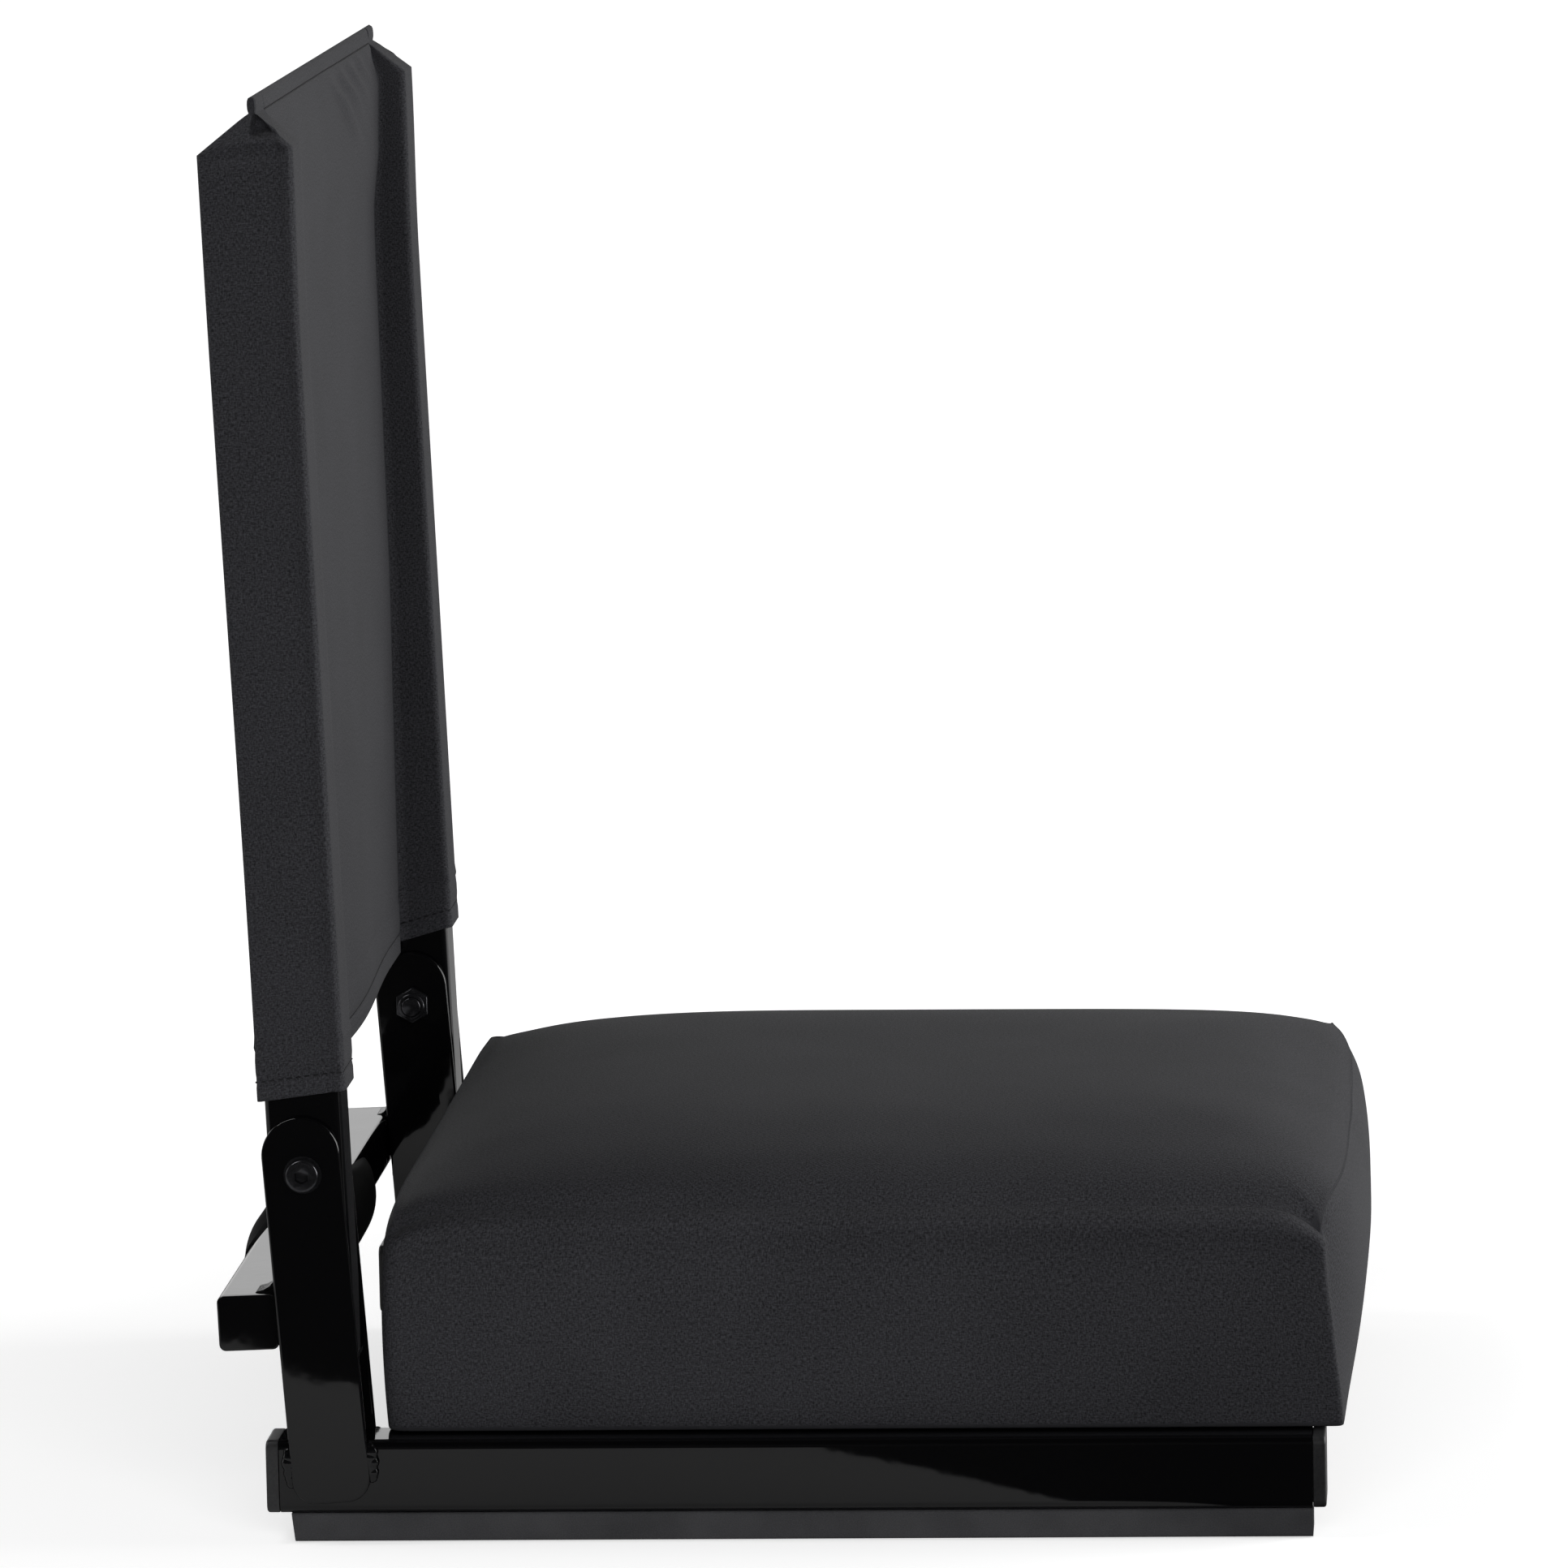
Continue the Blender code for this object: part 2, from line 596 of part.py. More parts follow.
def post_plugs(side, y, plastic, hinge):
    def place(outline, z):
        return across_z(outline, z, POST_AHEAD, y)

    for end, z, out in (("top", POST_ABOVE_PIVOT, 1), ("bottom", -POST_BELOW_PIVOT, -1)):
        size = (POST_DEPTH, POST_WIDTH, POST_WALL, POST_CORNER)
        shape = plug("post_plug", place, z, out, *size, PLUG_LIP, PLUG_SPIGOT, PLUG_DOME)
        add(f"post_plug_{end}_{side}", shape, plastic, hinge)


def pivot_bush(side, y, steel, hinge):
    half = POST_WIDTH / 2
    add(f"pivot_bush_{side}", ring("pivot_bush", BORE_RADIUS, BUSH_RADIUS, y - half, y + half), steel, hinge)


def bar_place(outline, y):
    return across_y(outline, y, BAR_MIDDLE_X, BAR_MIDDLE_Z)


def bar_weld(sign):
    """A hollow fillet on top of the bar, behind a post."""
    section = ((0.0, -0.15), (-0.8, -0.15), (-1.0, 0.0), (-0.55, 0.16), (-0.2, 0.48), (0.0, 1.0))
    outline = [(a * BAR_WELD_BACK, b * BAR_WELD_UP) for a, b in section]
    near = RAIL_Y - POST_WIDTH / 2 + BAR_WELD_MARGIN
    far = BAR_TUBE_END - BAR_WELD_MARGIN
    return [across_y(outline, sign * y, BAR_FRONT, -BAR_BELOW_PIVOT) for y in (near, far)]


def stop_bar(paint, plastic, hinge):
    size = (BAR_DEPTH, BAR_HEIGHT, BAR_WALL, BAR_CORNER)
    welds = skin("bar_welds", *[bar_weld(sign) for sign in SIDES.values()])
    bar = add("stop_bar", tube("stop_bar", bar_place, -BAR_TUBE_END, BAR_TUBE_END, *size), paint, hinge)
    combine(bar, guide("bar_weld_guide", welds, hinge), "UNION")
    for side, sign in SIDES.items():
        lip = (BAR_CAP_LIP, BAR_CAP_SPIGOT, BAR_CAP_DOME)
        shape = plug("stop_bar_cap", bar_place, sign * BAR_TUBE_END, sign, *size, *lip)
        add(f"stop_bar_cap_{side}", shape, plastic, hinge)


def handle_grip(foam, hinge):
    """A barrel-shaped grip with the bar's own section cut through it."""
    half = GRIP_LENGTH / 2
    swell = GRIP_DIAMETER - GRIP_END_DIAMETER
    runs = [0.0, 0.06, 0.3, 0.6, 1.0]
    profile = [(-half, 0.94 * GRIP_END_DIAMETER)]
    for share in runs:
        width = GRIP_END_DIAMETER + swell * math.sin(share * math.pi / 2)
        profile.append((-half + 0.03 * GRIP_TAPER + share * GRIP_TAPER, width))
    profile += [(-y, width) for y, width in reversed(profile)]
    rings = [bar_place(circle(width / 2), y) for y, width in profile]
    bore = rounded_rectangle(BAR_DEPTH + 2 * SEAT_GAP, BAR_HEIGHT + 2 * SEAT_GAP, BAR_CORNER + SEAT_GAP)
    cutter = skin("grip_bore_guide", [bar_place(bore, -GRIP_LENGTH), bar_place(bore, GRIP_LENGTH)])
    combine(add("handle_grip", skin("handle_grip", rings), foam, hinge), guide("grip_bore_guide", cutter, hinge))


def sleeve_outline(grow):
    width = POST_DEPTH + 2 * (COVER_SLACK + grow)
    height = POST_WIDTH + 2 * (COVER_SLACK + grow)
    return rounded_rectangle(width, height, SLEEVE_CORNER - COVER_WALL + grow)


def sleeve(sign):
    """A boxy sleeve whose top folds in from all sides to the seam, as a gable."""
    y = sign * RAIL_Y
    outline = sleeve_outline(COVER_WALL)
    shoulder = SHOULDER_ABOVE_PIVOT + COVER_WALL
    pinch = SEAM_THICKNESS / (POST_DEPTH + 2 * (COVER_SLACK + COVER_WALL)) * 0.8
    fold = shoulder + (SEAM_ABOVE_PIVOT - shoulder) * 0.18
    ridge = SEAM_ABOVE_PIVOT - SEAM_HEIGHT / 4
    half = max(b for a, b in outline)
    shrink = (SEAM_PAST_POST - SEAT_GAP + half) / (2 * half)
    turned_in = [(a * pinch, sign * ((sign * b + half) * shrink - half)) for a, b in outline]
    rolled = [(a * 0.95, b * 0.97) for a, b in outline]
    return [
        across_z(outline, HEM_ABOVE_PIVOT, POST_AHEAD, y),
        across_z(outline, shoulder, POST_AHEAD, y),
        across_z(rolled, fold, POST_AHEAD, y),
        across_z(turned_in, ridge, POST_AHEAD, y),
    ]


def sleeve_bore(sign):
    outline = sleeve_outline(0.0)
    low = HEM_ABOVE_PIVOT - SEAM_HEIGHT
    return [across_z(outline, z, POST_AHEAD, sign * RAIL_Y) for z in (low, SHOULDER_ABOVE_PIVOT)]


def panel():
    """Two layers of canvas sewn flat together, which hang back a little between the posts."""
    half = RAIL_Y - POST_WIDTH / 2 - COVER_SLACK - COVER_WALL / 2
    rings = []
    for station in range(PANEL_STATIONS):
        share = 2 * station / (PANEL_STATIONS - 1) - 1
        front = []
        back = []
        for level in range(PANEL_LEVELS):
            rise = level / (PANEL_LEVELS - 1)
            z = HEM_ABOVE_PIVOT + (SEAM_ABOVE_PIVOT - SEAM_HEIGHT / 2 - HEM_ABOVE_PIVOT) * rise
            x = POST_AHEAD - PANEL_BOW * (1 - share * share) * (1 - rise ** 3)
            front.append((x + PANEL_THICKNESS / 2, half * share, z))
            back.append((x - PANEL_THICKNESS / 2, half * share, z))
        rings.append(front + list(reversed(back)))
    return skin("panel", rings)


def top_seam():
    outline = rounded_rectangle(SEAM_THICKNESS, 2 * SEAM_HALF_WIDTH, SEAM_THICKNESS / 3)
    levels = (SEAM_ABOVE_PIVOT - SEAM_HEIGHT, SEAM_ABOVE_PIVOT)
    return skin("top_seam", [across_z(outline, z, POST_AHEAD) for z in levels])


def back_cover(canvas, hinge):
    sleeves = skin("sleeves", *[sleeve(sign) for sign in SIDES.values()])
    bores = skin("sleeve_bores", *[sleeve_bore(sign) for sign in SIDES.values()])
    cover = add("back_cover", panel(), canvas, hinge)
    combine(cover, guide("top_seam_guide", top_seam(), hinge), "UNION")
    combine(cover, guide("sleeve_guide", sleeves, hinge), "UNION")
    combine(cover, guide("sleeve_bore_guide", bores, hinge))


def main():
    clear_scene()
    paint = material("gloss_black_paint", (0.012, 0.012, 0.013), 0.22)
    steel = material("black_oxide_steel", (0.05, 0.05, 0.05), 0.35, 1.0)
    plastic = material("black_plastic", (0.030, 0.030, 0.031), 0.45)
    nylon = material("white_nylon", (0.75, 0.75, 0.72), 0.5)
    rubber = material("non_slip_rubber", (0.045, 0.045, 0.045), 0.9)
    canvas = material("charcoal_canvas", (0.032, 0.032, 0.033), 0.9)
    grip_foam = material("grip_foam", (0.020, 0.020, 0.020), 0.85)
    seat_filling = material("seat_filling", (0.70, 0.66, 0.50), 0.95)
    plywood = material("plywood", (0.45, 0.31, 0.18), 0.7)

    strap_axis = axis_empty("strap_axis", STRAP_LEAN)
    hinge = axis_empty("back_hinge", POST_LEAN)
    bolt_hole = pivot_guide("bolt_hole_guide", BORE_RADIUS, strap_axis)
    bush_hole = pivot_guide("bush_hole_guide", BUSH_RADIUS + SEAT_GAP, hinge)
    screw_holes = screw_hole_guide()

    for side, sign in SIDES.items():
        y = sign * RAIL_Y
        side_rail(side, y, paint)
        rail_caps(side, y, plastic)
        foot_strip(side, y, rubber)
        straps(side, y, sign, paint, strap_axis, bolt_hole)
        pivot_bolt(side, y, sign, steel, strap_axis)
        lock_nut(side, y, sign, steel, strap_axis)
        pivot_washers(side, y, sign, steel, nylon, strap_axis)
        back_post(side, y, paint, hinge, bush_hole)
        post_plugs(side, y, plastic, hinge)
        pivot_bush(side, y, steel, hinge)
    cross_tubes(paint, screw_holes)
    seat_board(plywood, screw_holes)
    seat_foam(seat_filling)
    seat_cover(canvas)
    seat_screws(steel)
    stop_bar(paint, plastic, hinge)
    handle_grip(grip_foam, hinge)
    back_cover(canvas, hinge)


main()
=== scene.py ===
import json
import math
from types import SimpleNamespace as Settings

import bmesh
import bpy
import numpy as np
from mathutils import Matrix, Vector


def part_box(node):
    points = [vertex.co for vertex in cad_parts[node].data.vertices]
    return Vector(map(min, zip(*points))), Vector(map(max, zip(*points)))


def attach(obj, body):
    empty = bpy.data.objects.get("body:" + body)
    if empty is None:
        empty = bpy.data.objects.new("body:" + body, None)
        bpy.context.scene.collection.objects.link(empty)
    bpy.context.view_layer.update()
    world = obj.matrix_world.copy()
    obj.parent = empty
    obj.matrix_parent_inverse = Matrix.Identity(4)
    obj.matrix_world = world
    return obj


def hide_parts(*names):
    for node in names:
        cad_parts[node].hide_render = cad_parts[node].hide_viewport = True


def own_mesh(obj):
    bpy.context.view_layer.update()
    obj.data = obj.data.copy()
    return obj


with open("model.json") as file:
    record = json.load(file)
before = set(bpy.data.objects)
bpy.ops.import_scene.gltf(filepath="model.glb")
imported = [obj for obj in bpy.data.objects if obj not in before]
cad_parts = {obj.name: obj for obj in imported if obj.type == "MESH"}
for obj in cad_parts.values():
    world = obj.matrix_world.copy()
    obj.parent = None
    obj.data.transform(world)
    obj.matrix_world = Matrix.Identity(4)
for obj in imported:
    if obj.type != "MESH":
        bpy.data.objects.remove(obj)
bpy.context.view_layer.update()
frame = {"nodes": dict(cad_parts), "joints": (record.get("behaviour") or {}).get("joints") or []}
cad = frame["nodes"]
pivot = Vector(frame["joints"][0]["pos_m"])
sides = {"right": -1, "left": 1}  # the right side, -Y, faces the camera
sideY = 0.201  # middle of each rail and post, from the middle of the seat
print("frame loaded:", len(cad), "nodes")


def hexColour(code):
    parts = [int(code[i:i + 2], 16) / 255 for i in (1, 3, 5)]
    return [c / 12.92 if c <= 0.04045 else ((c + 0.055) / 1.055) ** 2.4 for c in parts] + [1.0]


def setInputs(tree, node, inputs):  # values, sockets, or nodes for their first socket
    for name, value in inputs.items():
        if isinstance(value, bpy.types.Node):
            value = value.outputs[0]
        if isinstance(value, bpy.types.NodeSocket):
            tree.links.new(value, node.inputs[name])
        else:
            node.inputs[name].default_value = value


def addNode(tree, kind, inputs=None, **settings):
    node = tree.nodes.new("ShaderNode" + kind)
    for name, value in settings.items():
        setattr(node, name, value)
    setInputs(tree, node, inputs or {})
    return node


def newMaterial(name, sockets):
    material = bpy.data.materials.new(name)
    material.use_nodes = True
    shader = material.node_tree.nodes["Principled BSDF"]
    setInputs(material.node_tree, shader, sockets)
    return material, material.node_tree, shader


def mixedTint(tree, share, dark, light):
    colours = {0: share, 6: hexColour(dark), 7: hexColour(light)}
    return addNode(tree, "Mix", colours, data_type="RGBA").outputs[2]


# Materials

paintLook = Settings(
    colour="#070708", roughness=0.035, waveMm=34, wave=0.05, waveDeep=0.002, peelMm=4.0, peel=0.02,
    peelDeep=0.0005, filmMm=60)


def glossEnamel(look):  # stoved black enamel on tube: deep black, mirror-like, slightly wavy reflections
    material, tree, shader = newMaterial("gloss_black_enamel", {
        "Base Color": hexColour(look.colour), "IOR": 1.5})
    place = addNode(tree, "TexCoord").outputs["Object"]
    wave, peel, film = (
        addNode(tree, "TexNoise", {"Vector": place, "Scale": 1000 / wide, "Detail": detail})
        for wide, detail in ((look.waveMm, 1.0), (look.peelMm, 0.0), (look.filmMm, 4.0)))
    haze = addNode(tree, "MapRange", {
        "Value": film, "From Min": 0.35, "From Max": 0.75,
        "To Min": look.roughness, "To Max": look.roughness * 1.5})
    wavy = addNode(tree, "Bump", {
        "Height": wave, "Strength": look.wave, "Distance": look.waveDeep})
    skin = addNode(tree, "Bump", {
        "Height": peel, "Normal": wavy,
        "Strength": look.peel, "Distance": look.peelDeep})
    setInputs(tree, shader, {"Roughness": haze, "Normal": skin})
    return material


canvasLook = Settings(
    dark="#1d1d1f", light="#454549", threadMm=0.9, sheen=0.03, floats=(750, 1900), cloudMm=45, cloud=0.15,
    shades=(0.775, 1.375), weave=0.4, bump=0.6, deep=0.0002)


def wovenCanvas(look):  # plain-woven polyester canvas, dyed charcoal: matt cross-hatch, a few thick threads
    material, tree, shader = newMaterial("charcoal_woven_canvas", {
        "Roughness": 0.88, "IOR": 1.45, "Specular IOR Level": 0.25,
        "Sheen Weight": look.sheen, "Sheen Roughness": 0.45})
    cloth = addNode(tree, "UVMap", uv_map="cloth").outputs["UV"]  # metres along the cut canvas
    period = 2 * look.threadMm / 1000  # real threads are near 0.45 mm, drawn twice as coarse to show
    warp, weft = (
        addNode(tree, "TexWave", {"Vector": cloth, "Scale": math.pi / 10 / period}, bands_direction=way)
        for way in ("X", "Y"))
    turned = addNode(tree, "Math", {0: 1.0, 1: weft.outputs["Fac"]}, operation="SUBTRACT")
    over = addNode(tree, "Mix", {0: warp.outputs["Fac"], 2: turned, 3: weft.outputs["Fac"]})
    slubs = []
    long, thin = look.floats  # per metre: thread floats near 1.3 mm long and 0.5 mm wide, each way
    for stretch in ((long, thin, 1), (thin, long, 1)):
        run = addNode(tree, "Mapping", {"Vector": cloth, "Scale": stretch})
        slubs.append(addNode(tree, "TexNoise", {"Vector": run, "Scale": 1.0, "Detail": 2.0}))
    both = addNode(tree, "Math", {0: slubs[0], 1: slubs[1]}, operation="ADD")
    cloud = addNode(tree, "TexNoise", {
        "Vector": cloth, "Scale": 1000 / look.cloudMm, "Detail": 3.0})
    shade = addNode(tree, "Math", {0: cloud, 1: look.cloud, 2: both}, operation="MULTIPLY_ADD")
    darkest, lightest = look.shades
    share = addNode(tree, "MapRange", {"Value": shade, "From Min": darkest, "From Max": lightest})
    tint = mixedTint(tree, share, look.dark, look.light)
    height = addNode(tree, "Math", {0: over, 1: look.weave, 2: both}, operation="MULTIPLY_ADD")
    bump = addNode(tree, "Bump", {
        "Height": height, "Strength": look.bump, "Distance": look.deep})
    setInputs(tree, shader, {"Base Color": tint, "Normal": bump})
    return material


grainLooks = {  # name, dark, light, roughness, grain in mm, metallic, specular level
    # twisted: matt, a little darker than the canvas
    "thread": ("spun_polyester_thread", "#19191b", "#29292b", 0.7, 0.6, 0.0, 0.3),
    # extruded: matt grey-black, gritty
    "rubber": ("non_slip_rubber_strip", "#353537", "#454547", 0.85, 0.5, 0.0, 0.4),
    # moulded: soft sheen, fine grain
    "plastic": ("moulded_black_polythene", "#222223", "#303031", 0.38, 1.2, 0.0, 0.5),
    # blacked screw steel: dark satin metal
    "oxide": ("black_oxide_steel", "#3c3c3f", "#565659", 0.22, 0.8, 0.9, 0.5),
    # skinned foam tube: dull black, dimpled
    "grip": ("moulded_foam_grip", "#0b0b0c", "#131314", 0.92, 1.5, 0.0, 0.2),
    # turned nylon: milky
    "nylon": ("white_nylon_washer", "#d9d8d2", "#e8e7e2", 0.45, 1.0, 0.0, 0.5),
    # enamel that flowed over a weld: glossy, uneven
    "weld": ("gloss_black_enamel_over_weld", "#070708", "#0b0b0c", 0.09, 2.5, 0.0, 0.5),
}
grainShape = Settings(patchMm=25, shades=(0.7, 1.3), bump=0.12, deep=0.0003)


def grained(name, dark, light, roughness, grainMm, metallic, specular):
    s = grainShape
    material, tree, shader = newMaterial(name, {
        "Roughness": roughness, "Metallic": metallic, "Specular IOR Level": specular})
    place = addNode(tree, "TexCoord").outputs["Object"]
    grain = addNode(tree, "TexNoise", {"Vector": place, "Scale": 1000 / grainMm, "Detail": 2.0})
    patch = addNode(tree, "TexNoise", {"Vector": place, "Scale": 1000 / s.patchMm, "Detail": 3.0})
    both = addNode(tree, "Math", {0: grain, 1: patch}, operation="ADD")
    share = addNode(tree, "MapRange", {
        "Value": both, "From Min": s.shades[0], "From Max": s.shades[1]})
    tint = mixedTint(tree, share, dark, light)
    bump = addNode(tree, "Bump", {
        "Height": grain, "Strength": s.bump, "Distance": s.deep})
    setInputs(tree, shader, {"Base Color": tint, "Normal": bump})
    return material


plyLook = Settings(dark="#a98a5f", light="#cdb287", grain=(25, 400, 400))  # grain 40 mm long, 2.5 mm wide


def birchPly(look):  # birch plywood sheet: pale long grain
    material, tree, shader = newMaterial("birch_plywood", {"Roughness": 0.65})
    place = addNode(tree, "TexCoord").outputs["Object"]
    run = addNode(tree, "Mapping", {"Vector": place, "Scale": look.grain})
    grain = addNode(tree, "TexNoise", {"Vector": run, "Scale": 1.0, "Detail": 5.0})
    setInputs(tree, shader, {"Base Color": mixedTint(tree, grain, look.dark, look.light)})
    return material


enamel = glossEnamel(paintLook)
canvas = wovenCanvas(canvasLook)
looks = {name: grained(*values) for name, values in grainLooks.items()}
ply = birchPly(plyLook)
print("materials:", len(bpy.data.materials))


# Modelling helpers

def startFresh():
    if bpy.context.mode != "OBJECT":
        bpy.ops.object.mode_set(mode="OBJECT")
    bpy.ops.object.select_all(action="DESELECT")


def useOnly(piece):
    startFresh()
    piece.select_set(True)
    bpy.context.view_layer.objects.active = piece


def nameNew(name):
    piece = bpy.context.object
    piece.name = piece.data.name = name
    bpy.ops.object.transform_apply(location=True, rotation=True, scale=True)
    return piece


def addBox(name, low, high):
    startFresh()
    low, high = Vector(low), Vector(high)
    bpy.ops.mesh.primitive_cube_add(size=1, location=(low + high) / 2, scale=high - low)
    return nameNew(name)


def addDrum(name, radius, start, end, x=0.0, z=0.0, facets=48):  # a cylinder along Y
    startFresh()
    bpy.ops.mesh.primitive_cylinder_add(
        vertices=facets, radius=radius, depth=abs(end - start), location=(x, (start + end) / 2, z),
        rotation=(math.pi / 2, 0, 0))
    return nameNew(name)


def selectSome(piece, kind, wanted):  # ends in edit mode with those edges or faces selected
    useOnly(piece)
    bpy.ops.object.mode_set(mode="EDIT")
    bpy.ops.mesh.select_mode(type=kind)
    bpy.ops.mesh.select_all(action="DESELECT")
    mesh = bmesh.from_edit_mesh(piece.data)
    for part in mesh.edges if kind == "EDGE" else mesh.faces:
        part.select_set(bool(wanted(part)))
    bmesh.update_edit_mesh(piece.data)


def bevelEdges(piece, wanted, width, steps):  # wanted looks at an edge's two ends
    selectSome(piece, "EDGE", lambda edge: wanted(edge.verts[0].co, edge.verts[1].co))
    bpy.ops.mesh.bevel(offset=width, segments=steps, affect="EDGES", clamp_overlap=True)
    bpy.ops.object.mode_set(mode="OBJECT")


def runsAlong(axis, least):  # edges longer than that along an axis
    return lambda a, b: abs(a[axis] - b[axis]) > least


def liesAt(axis, place):  # edges with both ends at one place on an axis
    return lambda a, b: abs(a[axis] - place) < 1e-5 and abs(b[axis] - place) < 1e-5


def applyModifier(piece, kind, **settings):
    useOnly(piece)
    bpy.ops.object.modifier_add(type=kind)
    modifier = piece.modifiers[-1]
    for name, value in settings.items():
        setattr(modifier, name, value)
    bpy.ops.object.modifier_apply(modifier=modifier.name)


def cutWith(piece, tool):
    applyModifier(piece, "BOOLEAN", object=tool, operation="DIFFERENCE", solver="MANIFOLD")
    bpy.data.objects.remove(tool)


def dropFaces(piece, wanted):
    selectSome(piece, "FACE", wanted)
    bpy.ops.mesh.delete(type="FACE")
    bpy.ops.object.mode_set(mode="OBJECT")


def turnOutward(piece, merge=0):  # merges points that lie together, then turns all faces out
    useOnly(piece)
    bpy.ops.object.mode_set(mode="EDIT")
    bpy.ops.mesh.select_all(action="SELECT")
    if merge:
        bpy.ops.mesh.remove_doubles(threshold=merge)
    bpy.ops.mesh.normals_make_consistent(inside=False)
    bpy.ops.object.mode_set(mode="OBJECT")


def leaning(degrees):  # from upright at the pivot, leant back
    return Matrix.Translation(pivot) @ Matrix.Rotation(math.radians(-degrees), 4, "Y")


def joinPieces(name, pieces):
    startFresh()
    for piece in pieces:
        piece.select_set(True)
    bpy.context.view_layer.objects.active = pieces[0]
    bpy.ops.object.join()
    pieces[0].name = pieces[0].data.name = name
    return pieces[0]


def finishPiece(piece, finish, body, replaced=(), angle=40, even=False):
    useOnly(piece)
    bpy.ops.object.shade_smooth_by_angle(angle=math.radians(angle))
    if even:  # keeps broad flats flat beside their rounded edges
        applyModifier(piece, "WEIGHTED_NORMAL", keep_sharp=True)
    piece.data.materials.clear()
    piece.data.materials.append(finish)
    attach(piece, body)
    if replaced:
        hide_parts(*replaced)
    return piece


def newObject(name, data):
    thing = bpy.data.objects.new(name, data)
    bpy.context.scene.collection.objects.link(thing)
    return thing


def loft(name, grid, cloth=None, wrapRows=False, lowCap=False, highCap=False):  # rings of points, closed round
    rows, columns = grid.shape[:2]
    faces, corners = [], []
    for r in range(rows if wrapRows else rows - 1):
        for c in range(columns):
            ring = [(r, c), (r, c + 1), (r + 1, c + 1), (r + 1, c)]
            faces.append([(a % rows) * columns + b % columns for a, b in ring])
            if cloth is not None:
                corners += [cloth[a % rows, b] for a, b in ring]
    points = grid.reshape(-1, 3).tolist()
    for wanted, row, turn in ((lowCap, 0, -1), (highCap, rows - 1, 1)):
        if wanted:
            points.append(grid[row].mean(0).tolist())
            for c in range(columns):
                ring = [row * columns + c, row * columns + (c + 1) % columns, len(points) - 1]
                faces.append(ring[::turn])
                if cloth is not None:
                    corners += [cloth[row, c], cloth[row, c + 1], cloth[row, :columns].mean(0)][::turn]
    mesh = bpy.data.meshes.new(name)
    mesh.from_pydata(points, [], faces)
    if cloth is not None:
        layer = mesh.uv_layers.new(name="cloth")
        layer.data.foreach_set("uv", np.array(corners, np.float32).ravel())
    return newObject(name, mesh)


def smoothStep(low, high, value):
    t = min(max((value - low) / (high - low), 0), 1)
    return t * t * (3 - 2 * t)


def bell(value, wide):
    return np.exp(-(value / wide) ** 2)


def runLength(points):  # distance along a line of points
    return np.concatenate([[0], np.cumsum(np.linalg.norm(np.diff(points, axis=0), axis=1))])


def readPoints(mesh, kind="co"):
    values = np.zeros(len(mesh.vertices) * 3, np.float32)
    mesh.vertices.foreach_get(kind, values)
    return values.reshape(-1, 3)


def writePoints(mesh, points):
    mesh.vertices.foreach_set("co", points.ravel())
    mesh.update()


# Steel frame

def squareTube(name, low, high, axis, shape):  # open at both ends
    tube = addBox(name, low, high)
    bevelEdges(tube, runsAlong(axis, 0.1), shape.corner, 6)
    dropFaces(tube, lambda face: abs(face.normal[axis]) > 0.9)
    applyModifier(tube, "SOLIDIFY", thickness=shape.wall, offset=-1)
    return tube


railShape = Settings(corner=0.0035, wall=0.0016, lip=0.0049, spigot=0.0021, round=0.0011, inside=0.0004)
for side in sides:
    s = railShape
    rail = squareTube("rail_tube_" + side, *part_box("side_rail_" + side), 0, s)
    finishPiece(rail, enamel, "base", ["side_rail_" + side], even=True)
    for end, way in (("front", 1), ("rear", -1)):
        node = f"rail_cap_{end}_{side}"
        low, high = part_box(node)
        outer, spigotEnd = (high.x, low.x) if way > 0 else (low.x, high.x)
        inner = outer - way * s.lip  # the lip shows, the spigot is in the tube
        cap = addBox(f"rail_plug_{end}_{side}", (min(outer, inner), low.y, low.z),
                     (max(outer, inner), high.y, high.z))
        bevelEdges(cap, runsAlong(0, 0.004), s.corner, 6)
        bevelEdges(cap, liesAt(0, outer), s.round, 4)
        bevelEdges(cap, liesAt(0, inner), s.inside, 2)
        spigot = addBox("spigot", (min(inner, spigotEnd), low.y + s.spigot, low.z + s.spigot),
                        (max(inner, spigotEnd), high.y - s.spigot, high.z - s.spigot))
        joinPieces(f"rail_plug_{end}_{side}", [cap, spigot])
        finishPiece(cap, looks["plastic"], "base", [node], even=True)
print("rails and end plugs done")

# inside: a strap's inner face from the middle of its rail
strapShape = Settings(
    lean=3.85, front=0.0146, rear=-0.01538, crown=0.0219, foot=-0.12789, corner=0.009, edge=0.0010,
    inside=0.0143, thick=0.003, bore=0.0043)


def strapPlate(name, low, high):
    s = strapShape
    plate = addBox(name, (s.rear, low, s.foot), (s.front, high, s.crown))
    half = (s.front - s.rear) / 2
    across = runsAlong(1, 0.002)
    bevelEdges(plate, lambda a, b: across(a, b) and a.z > 0, half * 0.999, 24)  # the round top
    bevelEdges(plate, lambda a, b: across(a, b) and a.z < -0.12 and abs(a.x) > 0.01, s.corner, 8)
    bevelEdges(plate, lambda a, b: abs(a.y - b.y) < 1e-5, s.edge, 3)
    cutWith(plate, addDrum("bore", s.bore, low - 0.01, high + 0.01, facets=32))
    plate.data.transform(leaning(s.lean))
    return plate


# front and rear: how far a bead's middle is from that edge of the strap; low: its foot above the ground
beadShape = Settings(
    radius=0.0029, pitch=0.0021, long=0.0118, voxel=0.0004, front=0.0007, rear=-0.0004, out=0.0004, low=0.0245,
    ends=0.74, uneven=0.09, wander=0.0003)


